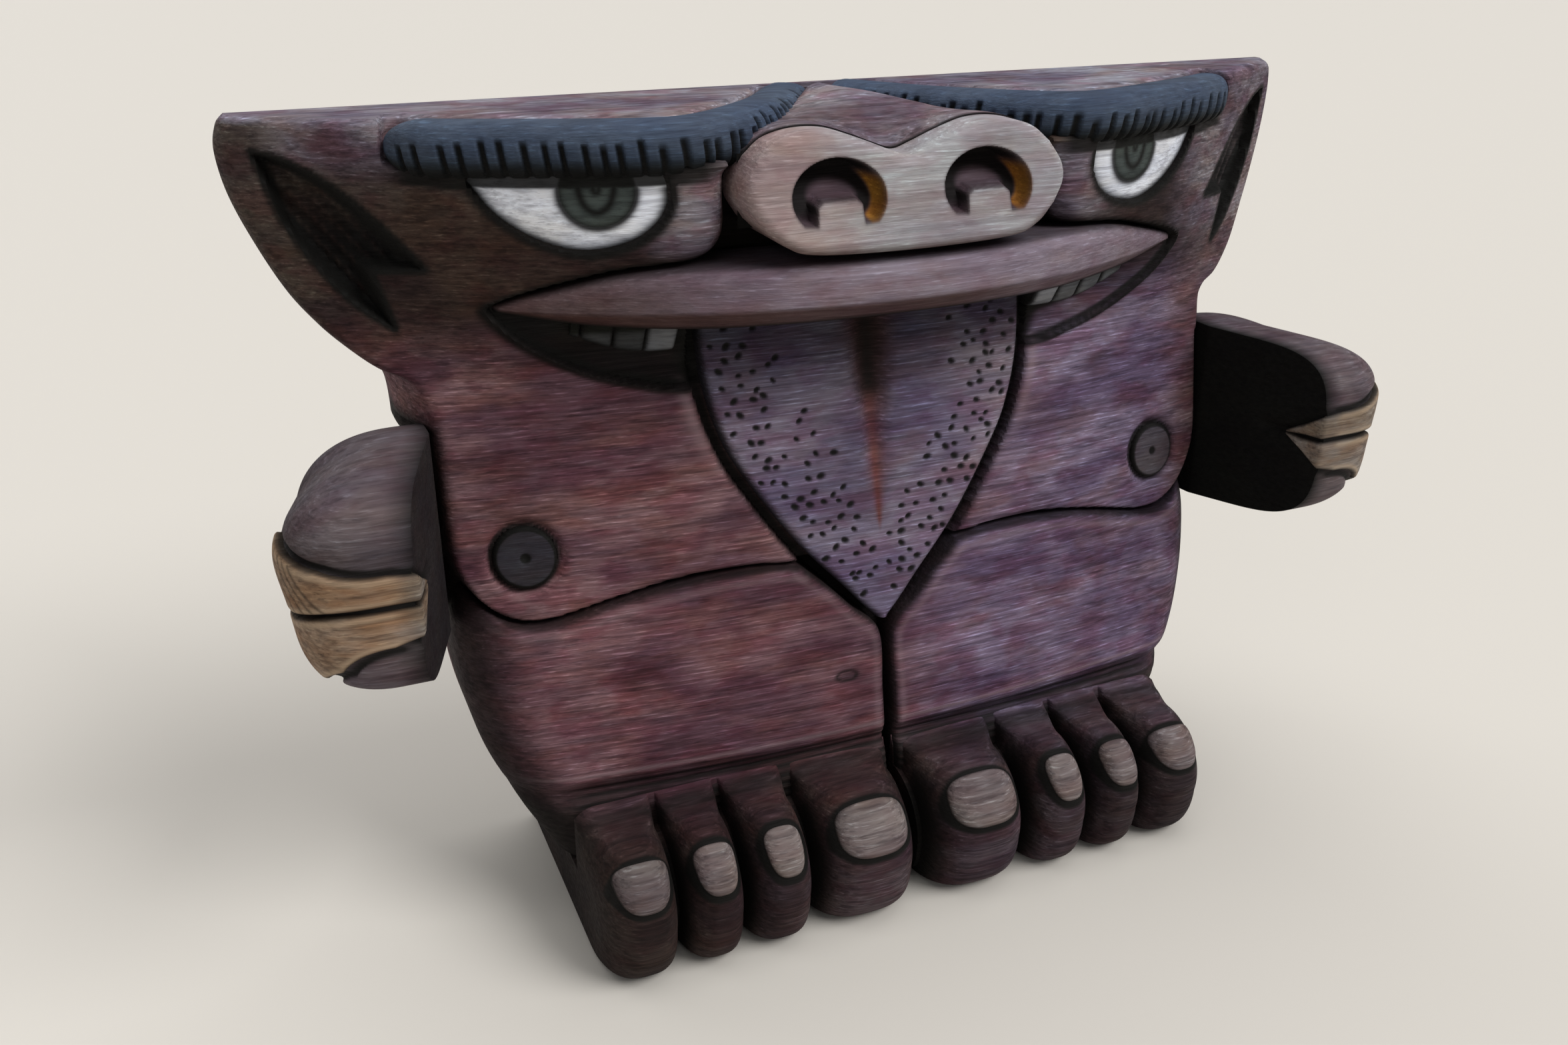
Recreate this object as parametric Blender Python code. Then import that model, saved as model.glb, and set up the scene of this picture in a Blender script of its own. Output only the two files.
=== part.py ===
"""Carved gremlin card holder: a wooden figure that holds upright cards between its palms.

Lengths are in millimetres and become metres when a mesh is made.
x runs to the right as seen from the front, y to the back and z up.
The soles stand on z = 0 and the origin is under the middle of the figure.
"""
import math

import bmesh
import bpy
from mathutils import Matrix

MM = 0.001

# Clearance between neighbouring pieces, and how far a cutter reaches past the wood it opens
GAP = 0.3
REACH = 6.0
STRIP = 6.0

# Overall sizes
HEIGHT = 84.5
DEPTH = 36.0
HEAD_HALF = 61.3
BODY_HALF = 45.5
BACK = DEPTH / 2

# Front faces: thickness from the flat back at the middle, lean per millimetre of height, and bow radius
HEAD_THICK = 23.5
EAR_THICK = 1.4
HEAD_BOW = HEAD_HALF ** 2 / (HEAD_THICK - EAR_THICK)
BODY_THICK = 26.0
BODY_LEAN = 0.17
BODY_BOW = 480.0

# Head and neck, hung from the top of the figure
HEAD_HEIGHT = 18.5
NECK_DROP = 24.5
NECK_FLARE = 1.1
EAR_RECESS = 5.0
HEAD_BOTTOM = HEIGHT - HEAD_HEIGHT
NECK_Z = HEIGHT - NECK_DROP
NECK_HALF = BODY_HALF + NECK_FLARE

# Arms, where the hands join the sides of the body
SHOULDER_DROP = 4.0
ARM_HEIGHT = 22.0
ARM_TOP = NECK_Z - SHOULDER_DROP
ARM_BOTTOM = ARM_TOP - ARM_HEIGHT

# Nose
SNOUT_HALF = 16.8
SNOUT_HEIGHT = 11.1
SNOUT_DOWN = 1.5
SNOUT_NOTCH = 2.5
SNOUT_PROUD = 2.6
SNOUT_TILT = 0.27
SNOUT_THICK = 4.4
SNOUT_TOP = HEIGHT - SNOUT_DOWN
SNOUT_BOTTOM = SNOUT_TOP - SNOUT_HEIGHT
NOSE_BAY_MARGIN = 1.8
NOSE_BAY_DEPTH = 7.5
NOSE_BAY_HALF = SNOUT_HALF + NOSE_BAY_MARGIN
BRIDGE_TOP_DROP = 0.7
BRIDGE_BACK_INSET = 3.0
NOSTRIL_X = 7.9
NOSTRIL_UP = 5.3
NOSTRIL_HALF_WIDTH = 4.7
NOSTRIL_HALF_HEIGHT = 3.3
NOSTRIL_TAB_HALF = 1.9
NOSTRIL_TAB_DROP = 0.6
NOSTRIL_DEPTH = 2.8
NOSTRIL_Z = SNOUT_BOTTOM + NOSTRIL_UP

# Brows: a bar that follows the head's front and then turns back beside the nose bridge
BROW_HEIGHT = 4.6
BROW_HALF = 2.3
BROW_PROUD = 1.2
BROW_OUTER_X = 45.6
BROW_TURN_MARGIN = 2.9
BROW_BACK_X = 3.2
BROW_BACK_INSET = 1.5
BROW_BOTTOM = HEIGHT - BROW_HEIGHT
BROW_TURN_X = NOSE_BAY_HALF + BROW_TURN_MARGIN

# Eyes
EYE_X = 31.4
EYE_DOWN = 7.5
EYE_HALF_WIDTH = 8.6
EYE_DROP = 4.3
EYE_RISE = 2.6
EYE_THICK = 2.4
EYE_SINK = 0.6
EYE_Z = HEIGHT - EYE_DOWN

# Mouth
MOUTH_HALF = 39.3
MOUTH_DROP = 8.5
MOUTH_DEPTH = 4.6
MOUTH_CORNER_RISE = 0.6
LIP_HALF = 38.6
LIP_HEIGHT = 5.5
LIP_HANG = 0.2
LIP_TIP_RISE = 1.6
LIP_PROUD = 2.5
LIP_BOW = 123.0
LIP_THICK = 6.0
TOOTH_COUNT = 3
TOOTH_WIDTH = 3.8
TOOTH_HEIGHT = 3.4
TOOTH_POINT = 0.6
TOOTH_THICK = 1.8
MOUTH_BOTTOM = HEAD_BOTTOM - MOUTH_DROP
MOUTH_CORNER_Z = HEAD_BOTTOM + MOUTH_CORNER_RISE
LIP_BOTTOM = HEAD_BOTTOM - LIP_HANG
LIP_TOP = LIP_BOTTOM + LIP_HEIGHT
LIP_TIP_Z = LIP_BOTTOM + LIP_TIP_RISE

# Legs
LEG_HALF = 45.3
LEG_WIDE_Z = 29.0
LEG_FOOT_HALF = 39.6
LEG_TOP = 37.9
LEG_SHOULDER_DROP = 3.7
LEG_WAIST_IN = 1.6
LEG_WAIST_UP = 3.6
LEG_THICK = 8.0
LEG_PROUD = 0.8
LEG_SEAM = 0.5

# Tongue, whose tip lies between the tops of the legs
TONGUE_HALF = 18.6
TONGUE_OVERLAP = 7.9
TONGUE_TUCK = 1.0
TONGUE_THICK = 5.0
TONGUE_PROUD = 0.4
TONGUE_SEAM = 0.5
TONGUE_TOP = HEAD_BOTTOM - TONGUE_TUCK
TONGUE_TIP = LEG_TOP - TONGUE_OVERLAP

# Nipples
NIPPLE_INSET = 7.5
NIPPLE_DOWN = 14.0
NIPPLE_RADIUS = 3.2
NIPPLE_THICK = 1.6
NIPPLE_X = BODY_HALF - NIPPLE_INSET
NIPPLE_Z = ARM_TOP - NIPPLE_DOWN

# Feet
FOOT_HALF = 36.6
FOOT_TOP = 14.5
HEEL_HEIGHT = 8.0
HEEL_INSET = 0.4
TOE_ROUND = 6.5
TOE_UNDERCUT = 2.0
TOE_SPLITS = (13.2, 21.0, 28.1)
TOE_SLOT = 1.0
TOE_SLOT_LENGTH = 5.6
TOE_BEVEL = 0.9
NAIL_HALF_SIZES = ((3.7, 2.8), (1.9, 2.6), (1.9, 2.6), (2.7, 2.4))
NAIL_THICK = 1.4
NAIL_PROUD = 0.2
NAIL_TILT = math.radians(48)
NAIL_CORNER = 0.7
SEAT = HEEL_HEIGHT + GAP

# Toe fronts, which stand back by what the longest nail overhangs: the nails are the front of the figure
NAIL_LONGEST = max(half_height for half_width, half_height in NAIL_HALF_SIZES)
NAIL_OVERHANG = (NAIL_LONGEST * math.cos(NAIL_TILT) + NAIL_PROUD * math.sin(NAIL_TILT)
                 - TOE_ROUND * (1 - math.sin(NAIL_TILT)))
TOE_FRONT = BACK - DEPTH + max(NAIL_OVERHANG, 0.0)

# Hands
HAND_WIDTH = 15.7
HAND_LIFT = 0.2
HAND_LENGTH = 24.6
HAND_BACK_INSET = 5.0
PALM_FLARE = 0.3
PALM_ROOT = 8.9
HAND_BEVEL = 1.2
HAND_BACK = BACK - HAND_BACK_INSET
HAND_FRONT = HAND_BACK - HAND_LENGTH
PALM_START = HAND_BACK - PALM_ROOT
HAND_OUT = BODY_HALF + HAND_WIDTH
HAND_BOTTOM = ARM_BOTTOM + HAND_LIFT

# Fingers, measured from the top of the arm and from the side of the body
FINGER_SPLIT_DOWN = 11.1
FINGER_TIP_OUT = 5.1
FINGER_TIP_UP = 1.7
FINGER_TIP_DOWN = 3.5
FINGER_OUT_UP = 7.5
FINGER_OUT_DOWN = 6.3
FINGER_BEND = 5.0
FINGER_LENGTH = 9.1
FINGER_SINK = 1.0
FINGER_SPLIT_Z = ARM_TOP - FINGER_SPLIT_DOWN
FINGER_TIP_X = BODY_HALF + FINGER_TIP_OUT
FINGER_FRONT = HAND_FRONT + FINGER_SINK
FINGER_BACK = FINGER_FRONT + FINGER_LENGTH

# Dowels
HAND_DOWEL_RADIUS = 1.6
HAND_DOWEL_DEPTH = 8.0
HAND_DOWEL_INSET = 7.8
FOOT_DOWEL_RADIUS = 2.4
FOOT_DOWEL_DEPTH = 5.0
FOOT_DOWEL_X = 20.0
FOOT_DOWEL_INSET = 11.0
SNOUT_DOWEL_RADIUS = 1.5
SNOUT_DOWEL_DEPTH = 2.4
SNOUT_DOWEL_UP = 4.1

SIDES = (("left", -1), ("right", 1))


# Surfaces

def head_front(x, z):
    """Bowed front of the head."""
    return BACK - HEAD_THICK + x * x / HEAD_BOW


def body_front(x, z):
    """Front of the chest, which leans back as it rises."""
    return BACK - BODY_THICK + BODY_LEAN * z + x * x / BODY_BOW


def snout_front(x, z):
    """Flat face of the snout, tipped back at the top."""
    return BACK - HEAD_THICK - SNOUT_PROUD + SNOUT_TILT * (z - SNOUT_BOTTOM)


def lip_front(x, z):
    """Bowed front of the upper lip."""
    return BACK - HEAD_THICK - LIP_PROUD + x * x / LIP_BOW


def moved(surface, shift):
    """The same surface, moved back by a distance."""
    return lambda x, z: surface(x, z) + shift


def flat(y):
    """A plane square to the depth."""
    return lambda x, z: y


def leg_side(z):
    """Outer side of the leg: a parabola that is widest at LEG_WIDE_Z and tapers to the foot."""
    taper = (LEG_HALF - LEG_FOOT_HALF) / (LEG_WIDE_Z - SEAT) ** 2
    return LEG_HALF - taper * (LEG_WIDE_Z - z) ** 2


def leg_side_points(steps=5):
    """Points down the outer side of the leg in x and z, from its widest place to the seat."""
    heights = [LEG_WIDE_Z + (SEAT - LEG_WIDE_Z) * i / steps for i in range(steps + 1)]
    return [(leg_side(z), z) for z in heights]


# Outlines

def smooth(points, steps=4):
    """A curve through the points, each span a cubic whose slope follows its neighbours."""
    last = len(points) - 1
    path = []
    for i in range(last):
        p0, p1, p2, p3 = (points[min(max(i + k, 0), last)] for k in (-1, 0, 1, 2))
        for step in range(steps):
            t = step / steps
            path.append(tuple(
                b + 0.5 * t * (c - a + t * (2 * a - 5 * b + 4 * c - d + t * (3 * (b - c) + d - a)))
                for a, b, c, d in zip(p0, p1, p2, p3)))
    path.append(tuple(points[-1]))
    return path


def arc(centre, radii, start, end, steps):
    """Points on an ellipse from one angle to another, in degrees."""
    angles = [math.radians(start + (end - start) * i / steps) for i in range(steps + 1)]
    return [(centre[0] + radii[0] * math.cos(a), centre[1] + radii[1] * math.sin(a)) for a in angles]


def mirrored(half):
    """A full outline from its right half, listed from the bottom centre to the top centre."""
    return half + [(-x, z) for x, z in reversed(half) if abs(x) > 1e-6]


def side_of(outline, sign):
    """The outline on the chosen side of the figure."""
    return [(sign * x, z) for x, z in outline]


def grown(outline, distance):
    """The outline moved outwards by a distance, with mitred corners."""
    count = len(outline)
    area = sum(outline[i - 1][0] * outline[i][1] - outline[i][0] * outline[i - 1][1] for i in range(count))
    turn = 1 if area > 0 else -1
    result = []
    for i in range(count):
        normals = []
        for a, b in ((outline[i - 1], outline[i]), (outline[i], outline[(i + 1) % count])):
            length = math.hypot(b[0] - a[0], b[1] - a[1])
            normals.append((turn * (b[1] - a[1]) / length, turn * (a[0] - b[0]) / length))
        (ax, az), (bx, bz) = normals
        scale = distance / max(1 + ax * bx + az * bz, 0.4)
        result.append((outline[i][0] + (ax + bx) * scale, outline[i][1] + (az + bz) * scale))
    return result


# Solids

def material(name, colour, roughness):
    """A plain wood or paint finish."""
    finish = bpy.data.materials.new(name)
    finish.use_nodes = True
    shader = finish.node_tree.nodes["Principled BSDF"]
    shader.inputs["Base Color"].default_value = (*colour, 1)
    shader.inputs["Roughness"].default_value = roughness
    shader.inputs["Metallic"].default_value = 0
    return finish


def add(name, bm, finish=None):
    """An object from a closed mesh in millimetres."""
    bmesh.ops.recalc_face_normals(bm, faces=bm.faces)
    bmesh.ops.scale(bm, vec=(MM, MM, MM), verts=bm.verts)
    mesh = bpy.data.meshes.new(name)
    bm.to_mesh(mesh)
    bm.free()
    obj = bpy.data.objects.new(name, mesh)
    bpy.context.collection.objects.link(obj)
    if finish:
        mesh.materials.append(finish)
    else:
        obj.hide_render = True
        obj.display_type = 'WIRE'
    return obj


def new_verts(made):
    """The vertices among what an extrusion made."""
    return [item for item in made if isinstance(item, bmesh.types.BMVert)]


def panel(name, outline, front, back, finish=None):
    """A board with an outline in x and z between two surfaces, split into strips so that it can bow."""
    bm = bmesh.new()
    bm.faces.new([bm.verts.new((x, 0, z)) for x, z in outline])
    low = min(x for x, z in outline)
    high = max(x for x, z in outline)
    for k in range(math.floor(low / STRIP) + 1, math.ceil(high / STRIP)):
        geometry = bm.verts[:] + bm.edges[:] + bm.faces[:]
        bmesh.ops.bisect_plane(bm, geom=geometry, dist=1e-5, plane_co=(k * STRIP, 0, 0), plane_no=(1, 0, 0))
    bm.normal_update()
    bmesh.ops.triangulate(bm, faces=bm.faces[:])
    rear = bm.verts[:]
    made = bmesh.ops.extrude_face_region(bm, geom=bm.faces[:])["geom"]
    for vert in new_verts(made):
        vert.co.y = front(vert.co.x, vert.co.z)
    for vert in rear:
        vert.co.y = back(vert.co.x, vert.co.z)
    return add(name, bm, finish)


def pillar(name, outline, bottom, top, finish=None):
    """A solid with an outline in x and y between two heights."""
    bm = bmesh.new()
    face = bm.faces.new([bm.verts.new((x, y, bottom)) for x, y in outline])
    made = bmesh.ops.extrude_face_region(bm, geom=[face])["geom"]
    bmesh.ops.translate(bm, vec=(0, 0, top - bottom), verts=new_verts(made))
    return add(name, bm, finish)


def bar(name, profile, start, end, finish=None):
    """A solid with a profile in y and z that runs between two places across the width."""
    bm = bmesh.new()
    face = bm.faces.new([bm.verts.new((start, y, z)) for y, z in profile])
    made = bmesh.ops.extrude_face_region(bm, geom=[face])["geom"]
    bmesh.ops.translate(bm, vec=(end - start, 0, 0), verts=new_verts(made))
    return add(name, bm, finish)


def dowel(name, centre, axis, length, radius, finish=None):
    """A round pin along an axis, centred on a point."""
    turn = {"x": Matrix.Rotation(math.pi / 2, 4, 'Y'), "y": Matrix.Rotation(math.pi / 2, 4, 'X')}
    place = Matrix.Translation(centre) @ turn.get(axis, Matrix.Identity(4))
    bm = bmesh.new()
    bmesh.ops.create_cone(bm, cap_ends=True, segments=20, radius1=radius, radius2=radius, depth=length,
                          matrix=place)
    return add(name, bm, finish)


def apply_modifiers(obj):
    """Replace an object's mesh by its evaluated form."""
    view = bpy.context.evaluated_depsgraph_get()
    mesh = bpy.data.meshes.new_from_object(obj.evaluated_get(view))
    obj.modifiers.clear()
    obj.data = mesh


def combine(obj, tools, operation='DIFFERENCE'):
    """Cut with, join or intersect each tool in turn, and remove the tools."""
    for tool in tools:
        step = obj.modifiers.new(operation.title(), 'BOOLEAN')
        step.operation = operation
        step.solver = 'EXACT'
        step.object = tool
        apply_modifiers(obj)
        bpy.data.objects.remove(tool)
    return obj


def soften(obj, width, angle=40):
    """Round the sharp edges of a piece."""
    step = obj.modifiers.new("Soften", 'BEVEL')
    step.width = width * MM
    step.segments = 2
    step.limit_method = 'ANGLE'
    step.angle_limit = math.radians(angle)
    apply_modifiers(obj)
    return obj


# Shapes shared by a piece and the recess it sits in

def eye_outline(sign):
    """An almond with a full lower edge and a flat upper edge under the brow."""
    left = EYE_X - EYE_HALF_WIDTH
    right = EYE_X + EYE_HALF_WIDTH
    lower = [(left, EYE_Z), (EYE_X - 0.45 * EYE_HALF_WIDTH, EYE_Z - 0.8 * EYE_DROP),
             (EYE_X, EYE_Z - EYE_DROP), (EYE_X + 0.6 * EYE_HALF_WIDTH, EYE_Z - 0.5 * EYE_DROP),
             (right, EYE_Z + 0.7 * EYE_RISE)]
    upper = [(right - 1, EYE_Z + EYE_RISE), (left + 1.6, EYE_Z + 0.6 * EYE_RISE)]
    return side_of(smooth(lower) + upper, sign)


def brow_path():
    """Middle line of the right brow in x and y, from its outer end to the back of the head."""
    middle = moved(head_front, BROW_HALF - BROW_PROUD)
    bend = 0.31 * BROW_OUTER_X + 0.69 * BROW_TURN_X
    outer = [(x, middle(x, 0)) for x in (BROW_OUTER_X, 0.66 * BROW_OUTER_X + 0.34 * BROW_TURN_X, bend)]
    turn_y = middle(BROW_TURN_X, 0)
    turn = [(BROW_TURN_X, turn_y + 0.4), (0.62 * BROW_TURN_X, 0.7 * turn_y + 0.3 * BACK),
            (0.34 * BROW_TURN_X, 0.35 * turn_y + 0.65 * BACK), (BROW_BACK_X, BACK)]
    return smooth(outer + turn + [(0.6 * BROW_BACK_X, BACK + 2 * BROW_HALF)])


def brow_edge(shift):
    """The brow's middle line moved sideways, positive towards the nose bridge and the front."""
    path = brow_path()
    edge = []
    for i, (x, y) in enumerate(path):
        before = path[max(i - 1, 0)]
        after = path[min(i + 1, len(path) - 1)]
        dx = after[0] - before[0]
        dy = after[1] - before[1]
        length = math.hypot(dx, dy)
        edge.append((x - shift * dy / length, y + shift * dx / length))
    return edge


def brow_outline(sign):
    """The brow seen from above, cut off square at its back end."""
    limit = BACK - BROW_BACK_INSET
    inner = clipped(brow_edge(BROW_HALF), limit)
    outer = clipped(brow_edge(-BROW_HALF), limit)
    return side_of(inner + outer[::-1], sign)


def brow_rebate_outline(sign):
    """The rebate for a brow: its back edge moved by the clearance, open to the front of the head."""
    half = BROW_HALF + GAP
    limit = BACK - BROW_BACK_INSET + GAP
    ahead = BACK - HEAD_THICK - REACH
    inner = clipped(brow_edge(half), limit)
    outer = clipped(brow_edge(-half), limit)
    opening = [inner[-1], (inner[-1][0], ahead), (inner[0][0], ahead), inner[0]]
    return side_of(outer + opening, sign)


def clipped(edge, limit):
    """An edge up to a limit of its second coordinate, ending exactly there."""
    i = next(k for k, point in enumerate(edge) if point[1] >= limit)
    x0, y0 = edge[i - 1]
    x1, y1 = edge[i]
    return edge[:i] + [(x0 + (x1 - x0) * (limit - y0) / (y1 - y0), limit)]


def bridge_outline():
    """The nose bridge seen from above: a wedge between the two brows."""
    front = snout_front(0, SNOUT_TOP) + SNOUT_THICK + GAP
    edge = clipped(brow_edge(BROW_HALF + GAP), BACK - BRIDGE_BACK_INSET)
    inner = [(x, y) for x, y in edge if y > front and x < NOSE_BAY_HALF - 2 * GAP]
    return mirrored([(inner[0][0], front)] + inner)


def snout_outline():
    """An oval with a notch in the middle of its top edge."""
    middle = (SNOUT_TOP + SNOUT_BOTTOM) / 2
    half = [(0.0, SNOUT_BOTTOM), (0.6 * SNOUT_HALF, SNOUT_BOTTOM + 0.3), (0.9 * SNOUT_HALF, middle - 3.1),
            (SNOUT_HALF, middle + 0.3), (0.91 * SNOUT_HALF, middle + 3.6), (0.64 * SNOUT_HALF, SNOUT_TOP),
            (0.3 * SNOUT_HALF, SNOUT_TOP - 0.7)]
    return mirrored(smooth(half, 3) + [(0.0, SNOUT_TOP - SNOUT_NOTCH)])


def nostril_outline(sign):
    """An arch with a tab that rises from below."""
    low = -40
    hole = arc((NOSTRIL_X, NOSTRIL_Z), (NOSTRIL_HALF_WIDTH, NOSTRIL_HALF_HEIGHT), low, 180 - low, 14)
    tab_top = NOSTRIL_Z - NOSTRIL_TAB_DROP
    tab = [(NOSTRIL_X - NOSTRIL_TAB_HALF, hole[-1][1]), (NOSTRIL_X - NOSTRIL_TAB_HALF, tab_top),
           (NOSTRIL_X + NOSTRIL_TAB_HALF, tab_top), (NOSTRIL_X + NOSTRIL_TAB_HALF, hole[0][1])]
    return side_of(hole + tab, sign)


def lip_outline():
    """A long bar whose ends taper to points."""
    lower = [(0.0, LIP_BOTTOM), (0.55 * LIP_HALF, LIP_BOTTOM + 0.3), (LIP_HALF - 0.5, LIP_TIP_Z - 0.3)]
    upper = [(LIP_HALF, LIP_TIP_Z), (0.83 * LIP_HALF, LIP_TOP - 1.6), (0.5 * LIP_HALF, LIP_TOP),
             (0.0, LIP_TOP)]
    return mirrored(smooth(lower, 3) + smooth(upper, 3))


def tongue_outline():
    """A long tongue, parallel at the lip and pointed at the tip."""
    rise = TONGUE_TOP - TONGUE_TIP
    edge = [(0.0, TONGUE_TIP), (0.23 * TONGUE_HALF, TONGUE_TIP + 0.12 * rise),
            (0.52 * TONGUE_HALF, TONGUE_TIP + 0.29 * rise), (0.81 * TONGUE_HALF, TONGUE_TIP + 0.52 * rise),
            (0.96 * TONGUE_HALF, TONGUE_TIP + 0.74 * rise), (TONGUE_HALF, TONGUE_TOP)]
    return mirrored(smooth(edge, 3) + [(0.0, TONGUE_TOP)])


def leg_outline(sign):
    """One leg: a rounded shoulder, the tongue's edge and the middle seam on the inside, a tapered outside."""
    edge = grown(tongue_outline(), TONGUE_SEAM)
    tongue_side = clipped([(x, z) for x, z in edge if x > LEG_SEAM], LEG_TOP - 0.6)
    shoulder = [(0.4 * LEG_HALF, LEG_TOP), (0.64 * LEG_HALF, LEG_TOP - 1.2),
                (0.86 * LEG_HALF, LEG_TOP - LEG_SHOULDER_DROP), (LEG_HALF - 1.2, LEG_WIDE_Z + 2.6),
                (LEG_HALF, LEG_WIDE_Z)]
    tip_x, tip_z = edge[0]
    first_x, first_z = tongue_side[0]
    seam_top = tip_z + (first_z - tip_z) * (LEG_SEAM - tip_x) / (first_x - tip_x)
    inner_foot = [(LEG_SEAM, SEAT), (LEG_SEAM, seam_top)]
    return side_of(inner_foot + tongue_side + smooth(shoulder, 3)[:-1] + leg_side_points(), sign)


def mouth_edge():
    """Lower edge of the mouth, from its right corner to the tongue."""
    return smooth([(MOUTH_HALF, MOUTH_CORNER_Z), (0.89 * MOUTH_HALF, MOUTH_BOTTOM + 5.5),
                   (0.72 * MOUTH_HALF, MOUTH_BOTTOM + 2.0), (TONGUE_HALF + GAP, MOUTH_BOTTOM)], 3)


def mouth_outline(sign):
    """The gap under one side of the lip."""
    return side_of(mouth_edge() + [(TONGUE_HALF + GAP, MOUTH_CORNER_Z)], sign)


def teeth_outline(sign):
    """A row of short teeth with blunt points, which stop above the lower edge of the mouth."""
    start = TONGUE_HALF + 3 * GAP
    top = HEAD_BOTTOM - 2 * GAP
    low = top - TOOTH_HEIGHT
    edge = [(start, top)]
    for i in range(2 * TOOTH_COUNT + 1):
        x = start + i * TOOTH_WIDTH / 2
        point = TOOTH_POINT if i % 2 else 0.0
        edge.append((x, max(low - point, mouth_floor(x) + 2 * GAP)))
    edge.append((start + TOOTH_COUNT * TOOTH_WIDTH, top))
    return side_of(edge, sign)


def mouth_floor(x):
    """Height of the mouth's lower edge at a place across the width."""
    edge = mouth_edge()
    i = next(k for k, point in enumerate(edge) if point[0] <= x)
    x0, z0 = edge[i - 1]
    x1, z1 = edge[i]
    return z0 + (z1 - z0) * (x - x0) / (x1 - x0)


def ear_outline():
    """Outer edge of the right ear, from the neck to the tip."""
    shape = ((0.0, 0.0), (0.18, 0.05), (0.50, 0.22), (0.81, 0.51), (1.0, 0.87), (0.94, 1.0))
    return smooth(ear_points(shape), 3)


def ear_points(shape):
    """Points given as shares of the way from the neck to the ear's outermost place and to its top."""
    reach = HEAD_HALF - NECK_HALF
    return [(NECK_HALF + across * reach, NECK_Z + up * NECK_DROP) for across, up in shape]


def ear_recess_outline(sign):
    """The hollow of one ear, a leaf with a step in its inner edge."""
    inner = ((0.73, 0.86), (0.37, 0.78), (0.10, 0.64), (-0.14, 0.47))
    outer = ((0.16, 0.45), (0.05, 0.23), (0.38, 0.36), (0.60, 0.60))
    return side_of(ear_points(inner + outer), sign)


def foot_profile():
    """A foot from the side: low under the leg, high at the toes, with rounded toe fronts."""
    step = body_front(0, FOOT_TOP) - LEG_PROUD - 2 * GAP - BODY_LEAN * (FOOT_TOP - SEAT)
    nose = arc((TOE_FRONT + TOE_ROUND, FOOT_TOP - TOE_ROUND), (TOE_ROUND, TOE_ROUND), 180, 90, 6)
    sole = [(BACK - HEEL_INSET, 0.0), (TOE_FRONT + TOE_UNDERCUT, 0.0), (TOE_FRONT, TOE_UNDERCUT)]
    return sole + nose + [(step, FOOT_TOP), (step, HEEL_HEIGHT), (BACK - HEEL_INSET, HEEL_HEIGHT)]


def nail_place(centre_x):
    """Where a nail lies on the rounding of a toe, turned so that its own z points out of the wood."""
    y = TOE_FRONT + TOE_ROUND * (1 - math.sin(NAIL_TILT))
    z = FOOT_TOP - TOE_ROUND * (1 - math.cos(NAIL_TILT))
    return Matrix.Translation((centre_x, y, z)) @ Matrix.Rotation(NAIL_TILT, 4, 'X')


def nail(name, centre_x, half_sizes, extra, finish=None):
    """A nail plate: a rounded square of the given half sizes, bedded in the toe."""
    bm = bmesh.new()
    low = NAIL_PROUD - NAIL_THICK - extra
    high = NAIL_PROUD + (REACH if extra else 0)
    ring = []
    sides = 20
    for i in range(sides):
        angle = 2 * math.pi * i / sides
        c = math.cos(angle)
        s = math.sin(angle)
        ring.append((math.copysign(abs(c) ** NAIL_CORNER, c) * (half_sizes[0] + extra),
                     math.copysign(abs(s) ** NAIL_CORNER, s) * (half_sizes[1] + extra)))
    face = bm.faces.new([bm.verts.new((x, y, low)) for x, y in ring])
    made = bmesh.ops.extrude_face_region(bm, geom=[face])["geom"]
    bmesh.ops.translate(bm, vec=(0, 0, high - low), verts=new_verts(made))
    bmesh.ops.transform(bm, matrix=nail_place(centre_x), verts=bm.verts)
    return add(name, bm, finish)


def palm_x(y):
    """Inner face of the hand, which opens out towards the front."""
    return BODY_HALF + GAP + PALM_FLARE * max(PALM_START - y, 0.0)


def hand_outline(sign):
    """The fist from the front: rounded outside, straight where it meets the body."""
    inside = BODY_HALF - REACH
    middle = (ARM_TOP + HAND_BOTTOM) / 2
    lower = [(inside, HAND_BOTTOM + 0.4), (0.85 * HAND_OUT, HAND_BOTTOM),
             (0.95 * HAND_OUT, HAND_BOTTOM + 3.4)]
    upper = [(0.965 * HAND_OUT, ARM_TOP - 5.4), (0.89 * HAND_OUT, ARM_TOP - 1.2),
             (BODY_HALF + 2, ARM_TOP - 0.1), (inside, ARM_TOP)]
    return side_of(smooth(lower + [(HAND_OUT, middle)] + upper, 3), sign)


def hand_plan(sign):
    """The fist from above: flared palm, rounded knuckles and a back that curves in."""
    out = HAND_OUT + GAP
    palm = [(palm_x(y), y) for y in (HAND_BACK, PALM_START, HAND_FRONT)]
    knuckles = [(0.92 * out, HAND_FRONT + 0.5), (0.975 * out, HAND_FRONT + 3.4), (out, HAND_FRONT + 7.5)]
    rear = [(0.985 * out, HAND_BACK - 0.24 * HAND_LENGTH), (0.9 * out, HAND_BACK)]
    return side_of(palm[:-1] + smooth(palm[-1:] + knuckles + rear, 3), sign)


def finger_outline(upper, sign):
    """One finger from the front: a wedge that narrows towards the palm."""
    out = HAND_OUT + REACH
    half_gap = GAP / 2
    tip = FINGER_SPLIT_Z + (FINGER_TIP_UP if upper else -FINGER_TIP_DOWN)
    far = FINGER_SPLIT_Z + (FINGER_OUT_UP if upper else -FINGER_OUT_DOWN)
    split = FINGER_SPLIT_Z + (half_gap if upper else -half_gap)
    edge = [(FINGER_TIP_X, split), (out, split), (out, far)]
    bend = [(FINGER_TIP_X + FINGER_BEND, 0.5 * (tip + far)), (FINGER_TIP_X, tip)]
    return side_of(edge + bend, sign)


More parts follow.
